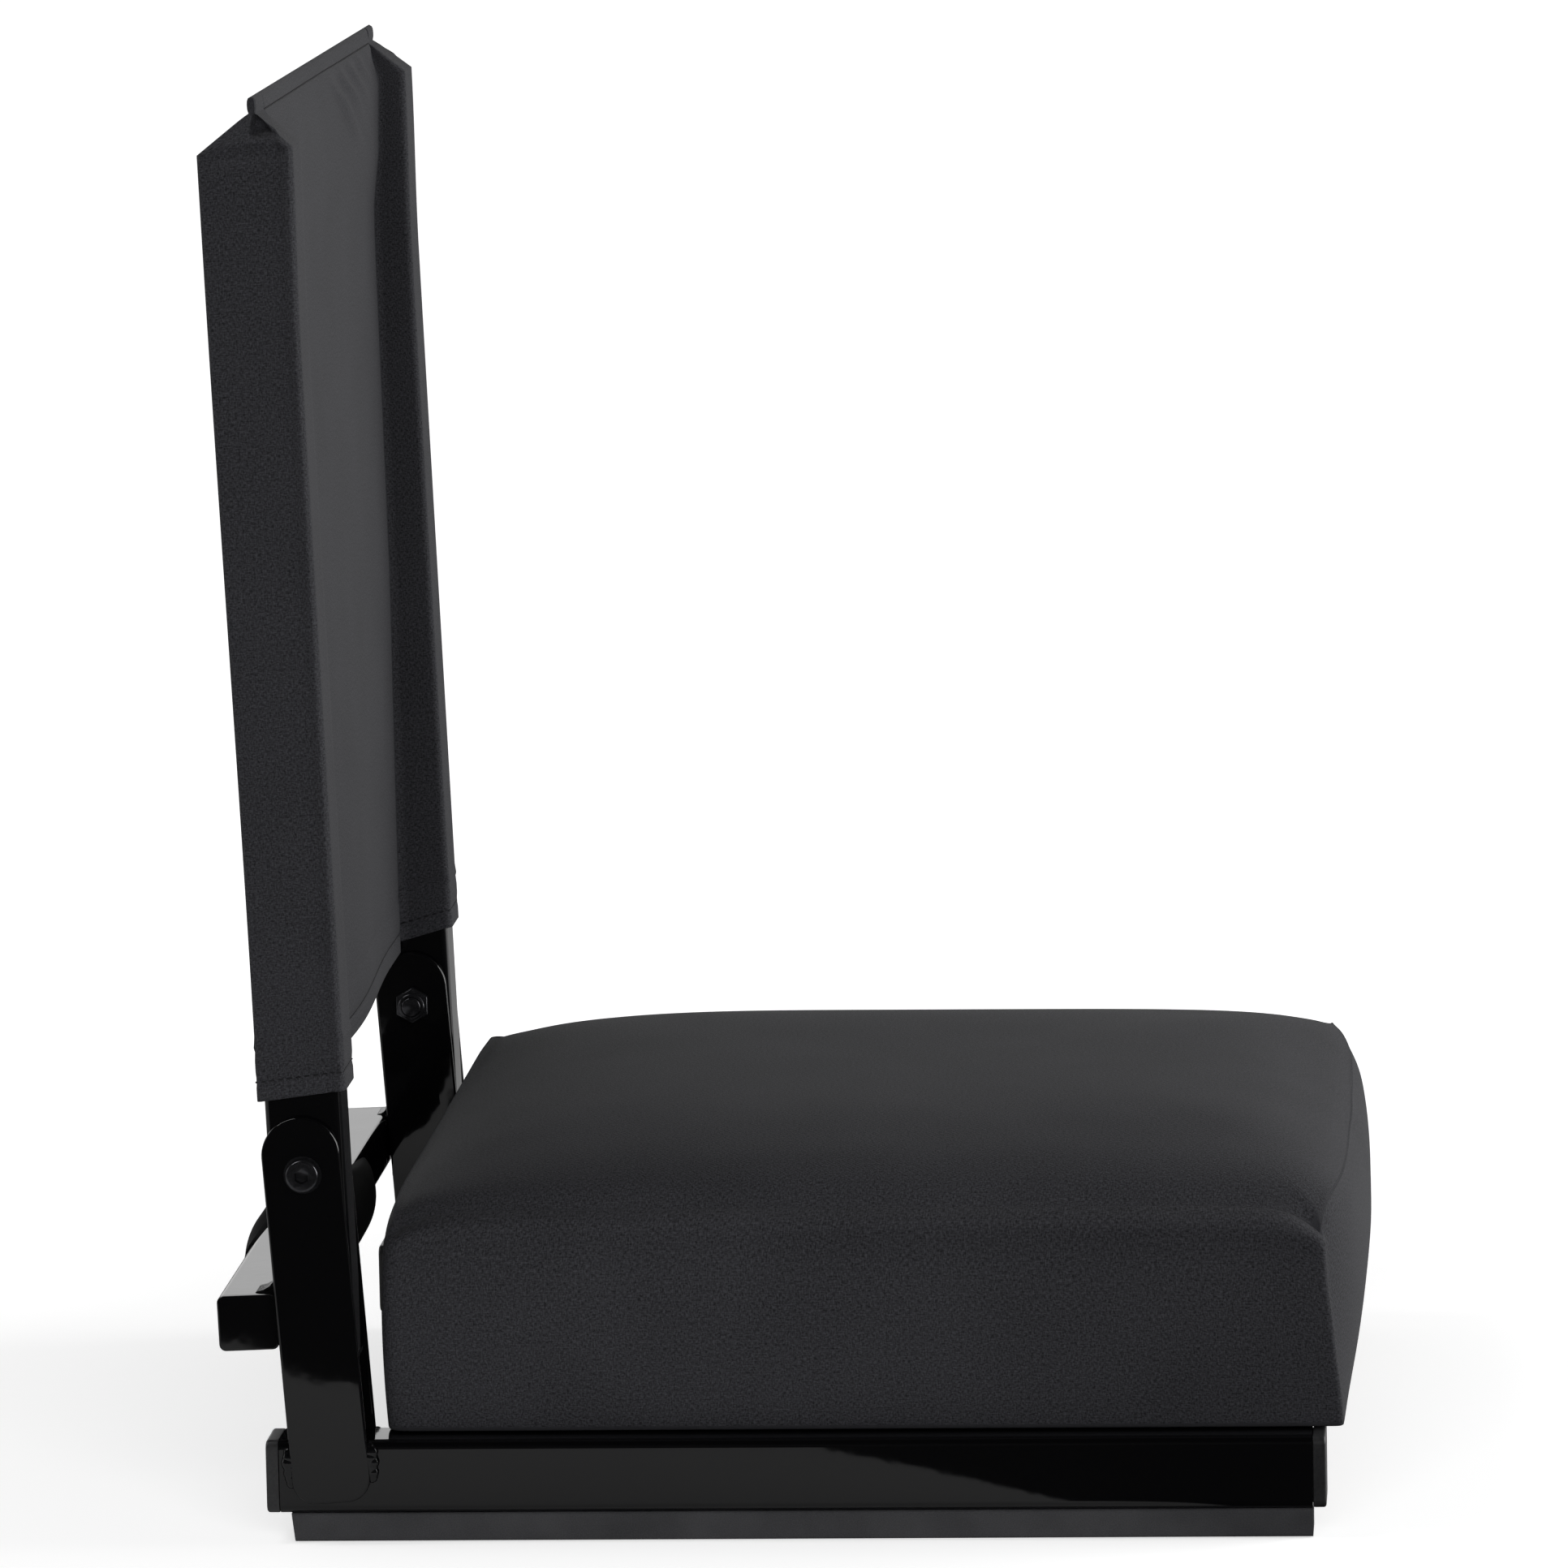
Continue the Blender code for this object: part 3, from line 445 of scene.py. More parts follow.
def weldBead():  # one bead along Z: overlapping puddles run together
    s = beadShape
    count = round(s.long / s.pitch)
    drops = []
    for i in range(count + 1):
        size = s.radius * (s.ends if i in (0, count) else 1.0 + s.uneven * math.sin(5.1 * i))
        startFresh()
        bpy.ops.mesh.primitive_uv_sphere_add(segments=16, ring_count=10, radius=size, scale=(1, 0.85, 1),
                                             location=(s.wander * math.sin(2.7 * i), 0, s.long * i / count))
        drops.append(nameNew("drop"))
    bead = joinPieces("weld_bead", drops)
    applyModifier(bead, "REMESH", mode="VOXEL", voxel_size=s.voxel)
    applyModifier(bead, "SMOOTH", factor=0.5, iterations=2)
    return bead


firstBead = weldBead()
beadLow = (beadShape.low - pivot.z) / math.cos(math.radians(strapShape.lean))
for side, sign in sides.items():
    for where, out in (("outer", sign), ("inner", -sign)):
        face = sign * sideY + out * strapShape.inside
        plate = strapPlate(f"strap_{where}_plate_{side}", *sorted((face, face + out * strapShape.thick)))
        beads = []
        for x in (strapShape.front + beadShape.front, strapShape.rear + beadShape.rear):
            bead = newObject("bead", firstBead.data.copy())
            spot = (x, face + out * beadShape.out, beadLow)
            bead.data.transform(leaning(strapShape.lean) @ Matrix.Translation(spot))
            beads.append(bead)
        finishPiece(plate, enamel, "base", [f"strap_{where}_{side}"], even=True)
        beads = joinPieces(f"strap_{where}_bead_{side}", beads)
        finishPiece(beads, looks["weld"], "base", angle=80)
bpy.data.objects.remove(firstBead)
print("straps and welds done")

postShape = Settings(
    lean=1.93, ahead=0.0009, depth=0.0294, width=0.0260, low=-0.0720, high=0.3855, corner=0.0030, wall=0.0015,
    bore=0.0064)
backLean = leaning(postShape.lean)
for side, sign in sides.items():
    s = postShape
    y = sign * sideY
    post = squareTube("post_tube_" + side, (s.ahead - s.depth / 2, y - s.width / 2, s.low),
                      (s.ahead + s.depth / 2, y + s.width / 2, s.high), 2, s)
    cutWith(post, addDrum("bore", s.bore, y - 0.02, y + 0.02, facets=32))
    post.data.transform(backLean)
    finishPiece(post, enamel, "back", ["back_post_" + side], even=True)

barShape = Settings(
    front=-0.0141, depth=0.0231, top=-0.0474, height=0.0214, half=0.2075, corner=0.0026, wall=0.0014,
    gap=0.0003, cap=0.0022, round=0.0007)
s = barShape
rear, bottom = s.front - s.depth, s.top - s.height
bar = squareTube("handle_bar", (rear, -s.half, bottom), (s.front, s.half, s.top), 1, s)
bar.data.transform(backLean)
finishPiece(bar, enamel, "back", ["stop_bar"], even=True)

# hollow fillets of weld on top of the bar, behind the posts: laid by hand, the left one thinner
filletShape = Settings(
    section=((0.0004, -0.0004), (-0.0086, -0.0004), (-0.0080, 0.0003), (-0.0052, 0.0009), (-0.0030, 0.0021),
    (-0.0014, 0.0040), (-0.0006, 0.0062), (0.0004, 0.0064)), start=0.1895, end=0.2050, stations=40, ripple=0.05,
    pitch=0.0022, ends=0.35, size={"right": 1, "left": 0.55})
for side, sign in sides.items():
    inner = sign * (s.half + s.gap)
    outer = sign * (s.half + s.gap + s.cap)
    near, far = sorted((inner, outer))
    cap = addBox("bar_plug_" + side, (rear, near, bottom), (s.front, far, s.top))
    bevelEdges(cap, runsAlong(1, 0.002), s.corner, 6)
    bevelEdges(cap, liesAt(1, outer), s.round, 3)
    cap.data.transform(backLean)
    finishPiece(cap, enamel, "back", ["stop_bar_cap_" + side], even=True)
    w = filletShape
    rings = []
    for i, y in enumerate(np.linspace(w.start, w.end, w.stations)):
        swell = 1 + w.ripple * math.cos(2 * math.pi * y / w.pitch)
        swell = (swell - (w.ends if i in (0, w.stations - 1) else 0)) * w.size[side]
        rings.append([(s.front + a * swell, sign * y, s.top + b * swell) for a, b in w.section])
    fillet = loft("bar_fillet_" + side, np.array(rings)[::-sign], lowCap=True, highCap=True)
    fillet.data.transform(backLean)
    finishPiece(fillet, looks["weld"], "back", angle=50)
print("posts and bar done")

# seat: under the head, from the middle of the seat; face: the nut's seat from the middle of the rail
boltShape = Settings(
    head=0.0063, tall=0.0040, round=0.0013, socket=0.0029, deep=0.0033, shank=0.0040, seat=0.2197, past=0.0012,
    tip=0.0008, soft=0.00015)
nutShape = Settings(
    face=0.0176, hex=0.0075, hexTall=0.0048, hexRound=0.0006, collar=0.0055, collarLow=0.0040, tall=0.0075,
    collarRound=0.0010, bore=0.0043)
for side, sign in sides.items():
    s, n = boltShape, nutShape
    seat = sign * s.seat
    top = seat + sign * s.tall
    head = addDrum("bolt_head", s.head, seat, top, pivot.x, pivot.z, 64)
    bevelEdges(head, liesAt(1, top), s.round, 5)
    cutWith(head, addDrum("socket", s.socket, top - sign * s.deep, top + sign * 0.004, pivot.x, pivot.z, 6))
    face = sign * (sideY - n.face)
    outer = face - sign * n.tall
    end = outer - sign * s.past
    shank = addDrum("bolt_shank", s.shank, seat - sign * 0.0001, end, pivot.x, pivot.z, 32)
    bevelEdges(shank, liesAt(1, end), s.tip, 2)
    joinPieces("hinge_bolt_" + side, [head, shank])
    applyModifier(head, "BEVEL", width=s.soft, segments=2, limit_method="ANGLE", angle_limit=math.radians(40))
    finishPiece(head, looks["oxide"], "base", ["pivot_bolt_" + side])
    hexagon = addDrum("nut_hex", n.hex, face, face - sign * n.hexTall, pivot.x, pivot.z, 6)
    bevelEdges(hexagon, lambda a, b: abs(a.y - b.y) < 1e-5, n.hexRound, 3)
    collar = addDrum("nut_collar", n.collar, face - sign * n.collarLow, outer, pivot.x, pivot.z, 48)
    bevelEdges(collar, liesAt(1, outer), n.collarRound, 3)
    nut = joinPieces("hinge_nut_" + side, [hexagon, collar])
    cutWith(nut, addDrum("bore", n.bore, face + sign * 0.01, face - sign * 0.02, pivot.x, pivot.z, 32))
    finishPiece(nut, looks["oxide"], "base", ["lock_nut_" + side], angle=30)
print("bolts and nuts done")


# Seat cushion: boxed canvas over foam, seam round the top

# draw: how far the front corners are drawn back, as shares; slant: rays to the outline meet it at a slant;
# flat: the higher, the flatter the top is before it falls off; endSeam: the canvas rolls over the front and
# the rear with hardly a seam
cushionShape = Settings(
    middle=0.0359, halfX=0.187, halfY=0.209, bottom=0.0399, seam=0.1282, crown=0.0178, tuck=0.0075,
    shoulder=0.005, fullest=0.62, rearOut=0.0026, corner={"front": 0.0030, "rear": 0.0080}, rearShoulder=0.75,
    rearTuck=0.25, drawLeft=0.0125, drawRight=0.0060, drawAt=0.2, drawLow=0.25, drawRise=1.9, hemThick=0.0011,
    hemRound=0.0006, slant=1.25, flatFront=7, flatRear=5, flatSide=7, dipReach=0.0095, dipFade=0.035,
    straightX=46, straightY=52, cornerSteps=7, endSeam=0.06)
cornerDips = ((0.1735, -0.2035, 0.0120), (0.1735, 0.2035, -0.0035), (-0.184, -0.2035, 0.0085),
              (-0.184, 0.2035, -0.0010))  # how far each corner of the top seam is dragged down
sideBows = {"front": ((0, 0.3, 0.5, 0.68, 0.89, 1), (0.0004, 0.0075, 0.0105, 0.0125, 0.0112, 0.0085)),
            "rear": ((0, 0.3, 0.62, 1), (0.0002, 0.0006, 0.0010, 0.0008)),
            "side": ((0, 0.3, 0.62, 1), (0.0004, 0.0018, 0.0034, 0.0022))}  # at shares of the side's height
bowPower = {"front": 6.5, "rear": 11, "side": 5}
sideLevels = (0.0, 0.02, 0.06, 0.13, 0.21, 0.30, 0.39, 0.48, 0.57, 0.66, 0.74, 0.80, 0.85, 0.89, 0.92, 0.945,
              0.963, 0.978, 0.990, 1.0)
topInsetsMm = (1.3, 2.6, 4.0, 5.6, 7.6, 10, 13, 17, 22, 28, 35, 43, 53, 65, 79, 95, 113, 133, 154, 172)


def spread(count):  # steps from -1 to 1, closer at both ends
    return -np.cos(np.pi * np.linspace(0, 1, count + 1)) * 0.35 + np.linspace(-1, 1, count + 1) * 0.65


def cushionPlan(level):  # outline at a share of the side's height: sides bow out between pulled-in corners
    s = cushionShape
    if level > s.fullest:
        inset = s.shoulder * ((level - s.fullest) / (1 - s.fullest)) ** 2
        rearInset = inset * s.rearShoulder
    else:
        inset = s.tuck * (1 - level / s.fullest) ** 2
        rearInset = inset * s.rearTuck
    reach = {"front": s.halfX - inset, "rear": s.halfX + s.rearOut - rearInset,
             "side": s.halfY - inset}
    bow = {name: np.interp(level, *values) for name, values in sideBows.items()}
    ends = {name: reach[name] - bow[name] for name in reach}
    foremost, rearmost = ends["front"] - s.corner["front"], s.corner["rear"] - ends["rear"]
    # front edge from near to far, far side to the rear, rear edge to near, near side to the front
    edges = []
    for name, ox, oy in (("front", 1, 0), ("side", 0, 1), ("rear", -1, 0), ("side", 0, -1)):
        t = spread(s.straightY if ox else s.straightX)
        depth = reach[name] - bow[name] * np.abs(t) ** bowPower[name]
        if ox:
            edges.append(np.column_stack([ox * depth, ox * t * (ends["side"] - s.corner[name])]))
        else:
            middle, half = (foremost + rearmost) / 2, (foremost - rearmost) / 2
            edges.append(np.column_stack([middle - oy * t * half, oy * depth]))
    points, seamShare = [], []
    tips = [(ends["front"], ends["side"]), (-ends["rear"], ends["side"]), (-ends["rear"], -ends["side"]),
            (ends["front"], -ends["side"])]
    for k, edge in enumerate(edges):
        points += list(edge)
        seamShare += [s.endSeam if k in (0, 2) else 1.0] * len(edge)
        tip, following = np.array(tips[k]), edges[(k + 1) % 4][0]
        for i in range(1, s.cornerSteps):
            t = i / s.cornerSteps
            points.append((1 - t) ** 2 * edge[-1] + 2 * t * (1 - t) * tip + t * t * following)
            seamShare.append(s.endSeam + (1 - s.endSeam) * (t if k in (0, 2) else 1 - t))
    points = np.array(points)
    # the front corners are drawn back, less at the bottom, where the board holds them
    drawn = np.where(points[:, 1] > 0, s.drawLeft, s.drawRight) * np.abs(points[:, 1]) / s.drawAt
    drawn = drawn * min(1.0, s.drawLow + s.drawRise * level)
    points[:, 0] *= np.where(points[:, 0] > 0, 1 - drawn, 1)
    return points, np.array(seamShare)


def cornerDip(x, y):
    total = np.zeros_like(x)
    for cx, cy, depth in cornerDips:
        total = total + depth / (1 + ((x - cx) ** 2 + (y - cy) ** 2) / cushionShape.dipReach ** 2)
    return total


def cushionPiece():
    s = cushionShape
    rise = s.seam - s.bottom
    rows, marks, seamAway = [], [], []
    base, seamShare = cushionPlan(0.0)
    # underside: hem turned in below the board, then up round it
    boardTop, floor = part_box("seat_board")[1].z, s.bottom
    inside = floor + s.hemThick
    hollow = [(0.0020, boardTop + 0.0004), (0.0016, inside), (0.026, inside), (0.030, inside),
              (0.0304, floor + 0.0005), (0.030, floor), (0.022, floor), (0.012, floor), (0.005, floor),
              (0.0012, floor + 0.0001)]
    for inset, z in hollow:
        plan = base * (1 - inset / np.linalg.norm(base, axis=1, keepdims=True) * s.slant)
        rows.append(np.column_stack([plan, np.full(len(plan), z)]))
        marks.append("under")
        seamAway.append(1.0)
    for level in sideLevels:
        plan, _ = cushionPlan(level)
        z = s.bottom + rise * level - cornerDip(plan[:, 0], plan[:, 1]) * level ** 3
        z = z + (s.hemRound if level == 0 else 0)
        rows.append(np.column_stack([plan, z]))
        marks.append("side")
        seamAway.append((1 - level) * rise)
    seamPlan, _ = cushionPlan(1.0)
    hx, hy = s.halfX - s.shoulder, s.halfY - s.shoulder
    for inset in np.array(topInsetsMm) / 1000:
        plan = seamPlan * (1 - inset / s.halfX)
        a, b = np.abs(plan[:, 0]) / hx, np.abs(plan[:, 1]) / hy
        swell = 1 - np.minimum(a, 1) ** np.where(plan[:, 0] > 0, s.flatFront, s.flatRear)
        swell = swell * (1 - np.minimum(b, 1) ** s.flatSide)
        dip = cornerDip(plan[:, 0], plan[:, 1]) * np.exp(-inset / s.dipFade)
        rows.append(np.column_stack([plan, s.seam + s.crown * swell - dip]))
        marks.append("top")
        seamAway.append(-inset)
    grid = np.array(rows)
    columns = grid.shape[1]
    cloth = np.zeros((len(rows), columns + 1, 2))
    for r, mark in enumerate(marks):
        if mark == "side":
            cloth[r, :, 0] = runLength(np.vstack([base, base[:1]]))
            cloth[r, :, 1] = grid[r, 0, 2]
        else:
            cloth[r, :columns] = grid[r, :, :2]
            cloth[r, columns] = grid[r, 0, :2]
    grid[:, :, 0] += s.middle
    piece = loft("seat_cushion", grid, cloth, lowCap=True, highCap=True)
    pinned = [r * columns + c for r, mark in enumerate(marks) for c in range(columns)
              if mark == "under" or (abs(seamAway[r]) < 1e-6 and seamShare[c] > 0.5)
              or (mark == "side" and seamAway[r] > rise * swellShape.held)]
    pinned.append(len(grid) * columns)  # middle of the underside
    return piece, np.array(seamAway), seamShare, columns, pinned


puffSettings = {"quality": 6, "tension_stiffness": 25, "compression_stiffness": 25, "bending_stiffness": 1.5,
                "use_pressure": True, "uniform_pressure_force": 4, "vertex_group_mass": "held"}
puffSteps = 20


def puffOut(piece, pinned):  # air pressure swells the canvas between its sewn and stapled lines
    group = piece.vertex_groups.new(name="held")
    group.add([int(i) for i in pinned], 1.0, "REPLACE")
    before = readPoints(piece.data)
    useOnly(piece)
    bpy.ops.object.modifier_add(type="CLOTH")
    cloth = piece.modifiers[-1]
    for name, value in puffSettings.items():
        setattr(cloth.settings, name, value)
    cloth.settings.effector_weights.gravity = 0
    cloth.collision_settings.use_collision = False
    for step in range(1, puffSteps + 1):
        bpy.context.scene.frame_set(step)
    bpy.ops.object.modifier_apply(modifier=cloth.name)
    bpy.context.scene.frame_set(1)
    return before, readPoints(piece.data) - before


# held: the side is free down to this share of its height; seam, hem and corner: how far each of them holds it
swellShape = Settings(cap=0.0045, reach=0.012, held=0.97, seam=0.010, hem=0.012, corner=0.024, front=0.7)


def evenOut(piece, before, move, seamAway, seamShare, columns):  # keeps the swell outward and smooth
    s = swellShape
    writePoints(piece.data, before)
    normal = readPoints(piece.data, "normal")
    out = np.maximum((move * normal).sum(1), 0)
    count = len(seamAway) * columns
    away, held = np.full(len(before), -0.2), np.zeros(len(before))
    away[:count], held[:count] = np.repeat(seamAway, columns), np.tile(seamShare, len(seamAway))
    rise = cushionShape.seam - cushionShape.bottom
    free = np.flatnonzero(away < rise * s.held)
    free = free[free != count]  # not the middle of the underside
    smooth = np.zeros_like(out)
    for start in range(0, len(free), 400):  # in batches, to save memory
        chosen = free[start:start + 400]
        apart = ((before[chosen, None] - before[None, free]) ** 2).sum(2)
        weight = np.exp(-apart / (2 * s.reach * s.reach))
        smooth[chosen] = weight @ out[free] / weight.sum(1)
    smooth *= (1 - held * bell(away, s.seam)) * (1 - bell(rise - away, s.hem))
    for cx, cy, _ in cornerDips:  # the corners stay pulled in
        far = (before[:, 0] - cushionShape.middle - cx) ** 2 + (before[:, 1] - cy) ** 2
        smooth *= 1 - np.exp(-far / (2 * s.corner ** 2))
    tight = 1 - s.front * np.maximum(normal[:, 0], 0) ** 2  # the front is pulled tight
    smooth = np.tanh(smooth / s.cap) * s.cap * tight
    writePoints(piece.data, before + normal * smooth[:, None])
    furthest, kept = (round(float(values.max()) * 1000, 1) for values in (out, smooth))
    print("cushion puffed out, furthest", furthest, "mm, kept", kept)


# turn: how far the canvas sinks where it rolls over the front and the rear
seamShape = Settings(
    valley=0.0040, valleySide=0.0034, valleyTop=0.0070, roll=0.0034, rollAt=0.0090, rollWide=0.0055,
    turn=0.0016, turnWide=0.0065)


def pressSeam(piece, seamAway, seamShare, columns):  # the sewn line lies in a soft groove above a roll
    s = seamShape
    piece.data.update()
    count = len(seamAway) * columns
    points, normal = readPoints(piece.data), readPoints(piece.data, "normal")
    away = np.repeat(seamAway, columns)
    depth = s.valley * bell(away, np.where(away > 0, s.valleySide, s.valleyTop))
    depth = depth - s.roll * bell(away - s.rollAt, s.rollWide)
    share = np.tile(seamShare, len(seamAway))
    depth = depth * share + s.turn * (1 - share) * bell(away, s.turnWide)
    points[:count] -= normal[:count] * depth[:, None]
    writePoints(piece.data, points)


cushion, seamAway, seamShare, columns, pinned = cushionPiece()
before, move = puffOut(cushion, pinned)
evenOut(cushion, before, move, seamAway, seamShare, columns)
pressSeam(cushion, seamAway, seamShare, columns)
applyModifier(cushion, "SUBSURF", levels=1, render_levels=1)
finishPiece(cushion, canvas, "base", ["seat_cover", "seat_foam"], angle=180)
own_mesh(cushion)
print("cushion done:", len(cushion.data.polygons), "faces")


# Canvas back: a sleeve on each post, a two-layer panel between, closed by one seam along the top

coverShape = Settings(
    hem=0.0298, turnUp=0.020, stitch=0.0074, shoulder=0.3896, ridge=0.4030, top=0.4094, halfDeep=0.0169,
    halfWide=0.0152, corner=0.0024, inner=0.0026, panel=0.0011, seam=0.0018, past=0.0045, tuck=0.011,
    hemTilt=0.0016, wall=0.0009, groove=0.0009, lip=0.0010, drop=0.0075, slope=0.0008, forward=0.0024,
    fold=0.0024, foldAt=0.0040, foldWide=0.0018, foldRear=0.35, hollow=0.0019, hollowAt=-0.0008,
    hollowWide=0.0021, hemThick=0.0003, turnStep=0.0015, dent=0.0006, dentWide=0.0016, sink=0.0007,
    sinkWide=0.0008, dropReach=0.06, dropSide=0.4, nip=0.25, nipWide=0.0012, lipAt=0.0146, lipWide=0.0015,
    grooveAt=0.0113, grooveWide=0.0014, flatter=0.0004, fuller=0.08)
panelLevels = (0.0298, 0.184, 0.320, 0.335, 0.357, 0.387, 0.402, 0.407)
panelEdge = (-0.0060, -0.0011, 0.0009, 0.0013, 0.0044, 0.0060, 0.0032, coverShape.forward)
panelMiddle = (-0.0019, 0.0, 0.0009, 0.0012, 0.0030, 0.0040, 0.0028, coverShape.forward)
dragShape = Settings(
    count=5, first=0.02, step=0.034, steep=0.36, start=0.075, next=0.014, long=0.035, wide=0.0032, high=0.0020)
panelColumns = 101
hemRow = 5  # the stitched line's place in the rows of the hem


def panelShift(z, share):  # the panel hangs behind the posts' middle at the hem and before it near the top
    edge, middle = np.interp(z, panelLevels, panelEdge), np.interp(z, panelLevels, panelMiddle)
    return middle + (edge - middle) * smoothStep(0, 0.8, abs(share))


def panelDrag(y, z):  # drag lines that run down from the seam towards the left post
    s = dragShape
    below = coverShape.ridge - z
    total = 0.0
    for k in range(s.count):
        line = -below + s.steep * (y - s.first - s.step * k)
        reach = bell(y - s.start - s.next * k, s.long) * smoothStep(0, 0.006, below)
        total += s.high * reach * bell(line, s.wide)
    return total


def sleeveLoop():  # from the panel's front, round the outside of a sleeve, to the panel's rear: (ahead, outward)
    s = coverShape
    deep, wide, r, i = s.halfDeep, s.halfWide, s.corner, s.inner
    half = [(a, -wide) for a in np.linspace(s.panel, deep - i, 5)]
    half += [(deep - i + i * math.sin(t), -wide + i - i * math.cos(t))
             for t in np.linspace(0, math.pi / 2, 6)[1:]]
    half += [(deep, b) for b in np.linspace(-wide + i, wide - r, 7)[1:]]
    half += [(deep - r + r * math.cos(t), wide - r + r * math.sin(t))
             for t in np.linspace(0, math.pi / 2, 7)[1:]]
    half += [(a, wide) for a in (0.0138, 0.0130, 0.0122, 0.0114, 0.0106, 0.0097, 0.0085, 0.0068, 0.0048, 0.0024,
                                 0.0008)]
    return half + [(0.0, wide)] + [(-a, b) for a, b in reversed(half)]


def coverRows():  # height, and share of the gable's fold
    s = coverShape
    hem, stitch, shoulder = s.hem, s.stitch, s.shoulder
    heights = [hem + up for up in (0, 0.0006, 0.0025, 0.0050, stitch - 0.0008, stitch, stitch + 0.0008, 0.0110,
                                   0.0150, 0.0185, 0.0200, 0.0215, 0.0240)]
    heights += list(np.linspace(hem + 0.030, 0.336, 32)) + list(np.linspace(0.339, shoulder - 0.006, 18))
    heights += [shoulder - 0.0035, shoulder - 0.0015]
    folds = [0.0, 0.06, 0.12, 0.18, 0.24, 0.30, 0.36, 0.42, 0.48, 0.54, 0.60, 0.72, 0.84, 0.93, 1.0]
    rows = [(z, 0.0) for z in heights]
    rows += [(shoulder + (s.ridge - shoulder) * t, t) for t in folds]
    rows += [(s.ridge + (s.top - s.ridge) * t, 1.0) for t in (0.25, 0.5, 0.75, 0.9, 1.0)]
    return rows


def coverGrid(rows):
    s = coverShape
    hem, deep, wide, shoulder = s.hem, s.halfDeep, s.halfWide, s.shoulder
    ahead0 = postShape.ahead
    loop = np.array(sleeveLoop())
    panelY = np.linspace(-1, 1, panelColumns + 2)[1:-1] * (sideY - wide)
    cols = [("panel", 1, y, 0.0) for y in panelY]
    cols += [("sleeve", 1, a, b) for a, b in loop]
    cols += [("panel", -1, y, 0.0) for y in panelY[::-1]]
    cols += [("sleeve", -1, a, b) for a, b in loop[::-1]]
    grid = np.zeros((len(rows), len(cols), 3))
    for r, (z, t) in enumerate(rows):
        up = z - hem
        rise = up / (s.top - hem)
        hemThick = s.hemThick * (1 - smoothStep(s.turnUp - s.turnStep, s.turnUp + s.turnStep, up))
        hemThick -= s.dent * bell(up - s.turnUp, s.dentWide)
        stitched = s.sink * bell(up - s.stitch, s.sinkWide)
        low = 1 - smoothStep(0, s.dropReach, up)
        inBand = max(0.0, (z - s.ridge) / (s.top - s.ridge))
        pinch = s.seam * (1 - s.nip * bell(z - s.ridge, s.nipWide))
        pinch *= math.sqrt(max(1 - inBand ** 6, 0))
        for c, (kind, sign, p, q) in enumerate(cols):
            if kind == "panel":
                half = s.panel + hemThick - stitched
                half = half + (pinch - half) * smoothStep(0.35, 1.0, t) if t < 1 else pinch
                shift = panelShift(z, p / (sideY - wide)) + (panelDrag(p, z) if t < 1 else 0)
                grid[r, c] = (ahead0 + sign * half + shift, p, z - s.drop * low)
                continue
            a, b = p, q
            drop = 0.0
            if b < -wide + 1e-6:  # the sleeve's inner side meets the panel where that hangs
                start = math.copysign(s.panel, a)
                share = (abs(a) - s.panel) / (deep - s.inner - s.panel)
                drop = s.dropSide * s.drop * low * (1 - share)
                a = start + panelShift(z, 1.0) * (1 - share)
                a += share * (math.copysign(deep - s.inner, p) - start)
            f = a / deep
            onOuter = smoothStep(wide - s.corner * 0.8, wide, b)
            onInner = 1 - smoothStep(-wide, -wide + s.corner * 0.6, b)
            ahead = a + math.copysign(hemThick * abs(f) ** 4, f)
            outward = b + hemThick * (onOuter - onInner)
            # the canvas stands up along its front edge, beside a groove
            outward += s.lip * onOuter * bell(a - s.lipAt, s.lipWide)
            if b > wide - 1e-6:
                groove = s.groove * (0.8 + 0.4 * smoothStep(0.72, 0.95, rise))
                outward -= groove * bell(a - s.grooveAt, s.grooveWide) + s.flatter * (1 - f * f) + stitched
                # a rolled fold over the gable's front half, with a hollow below it
                fold = s.fold * bell(z - shoulder - s.foldAt, s.foldWide)
                fold *= s.foldRear + (1 - s.foldRear) * smoothStep(-0.4, 0.2, f)
                fold -= s.hollow * bell(z - shoulder - s.hollowAt, s.hollowWide)
                outward += fold * (1 - f ** 6)
            elif abs(f) > 0.99:
                ahead -= math.copysign(stitched, f)
            tilt = s.hemTilt * f * (1 - smoothStep(0, 0.05, up)) - drop
            tilt += s.slope * f * smoothStep(shoulder - 0.05, shoulder, z) * (1 - t)
            ahead *= 1 + s.fuller * (smoothStep(0.75, 0.95, rise) if f > 0 else smoothStep(0.1, 0.85, rise))
            # fold the top in: front and rear lean together, and the outer end tucks in, most in its front half
            endF = max(-1.0, min(1.0, f * 3))
            seamAhead = s.forward + endF * pinch * (1 - 0.25 * onOuter)
            seamOut = -wide + (b + wide) * (s.past + wide) / (2 * wide)
            tuck = s.tuck * onOuter * smoothStep(-0.02, 0.3, f) * (1 - f ** 8)
            tuck *= smoothStep(0.22, 0.6, t) * (1 - t ** 6)
            ahead = ahead + (seamAhead - ahead) * t
            outward = outward + (seamOut - outward) * t ** 1.15 - tuck
            grid[r, c] = (ahead0 + ahead, sign * (sideY + outward), z + tilt)
    return grid


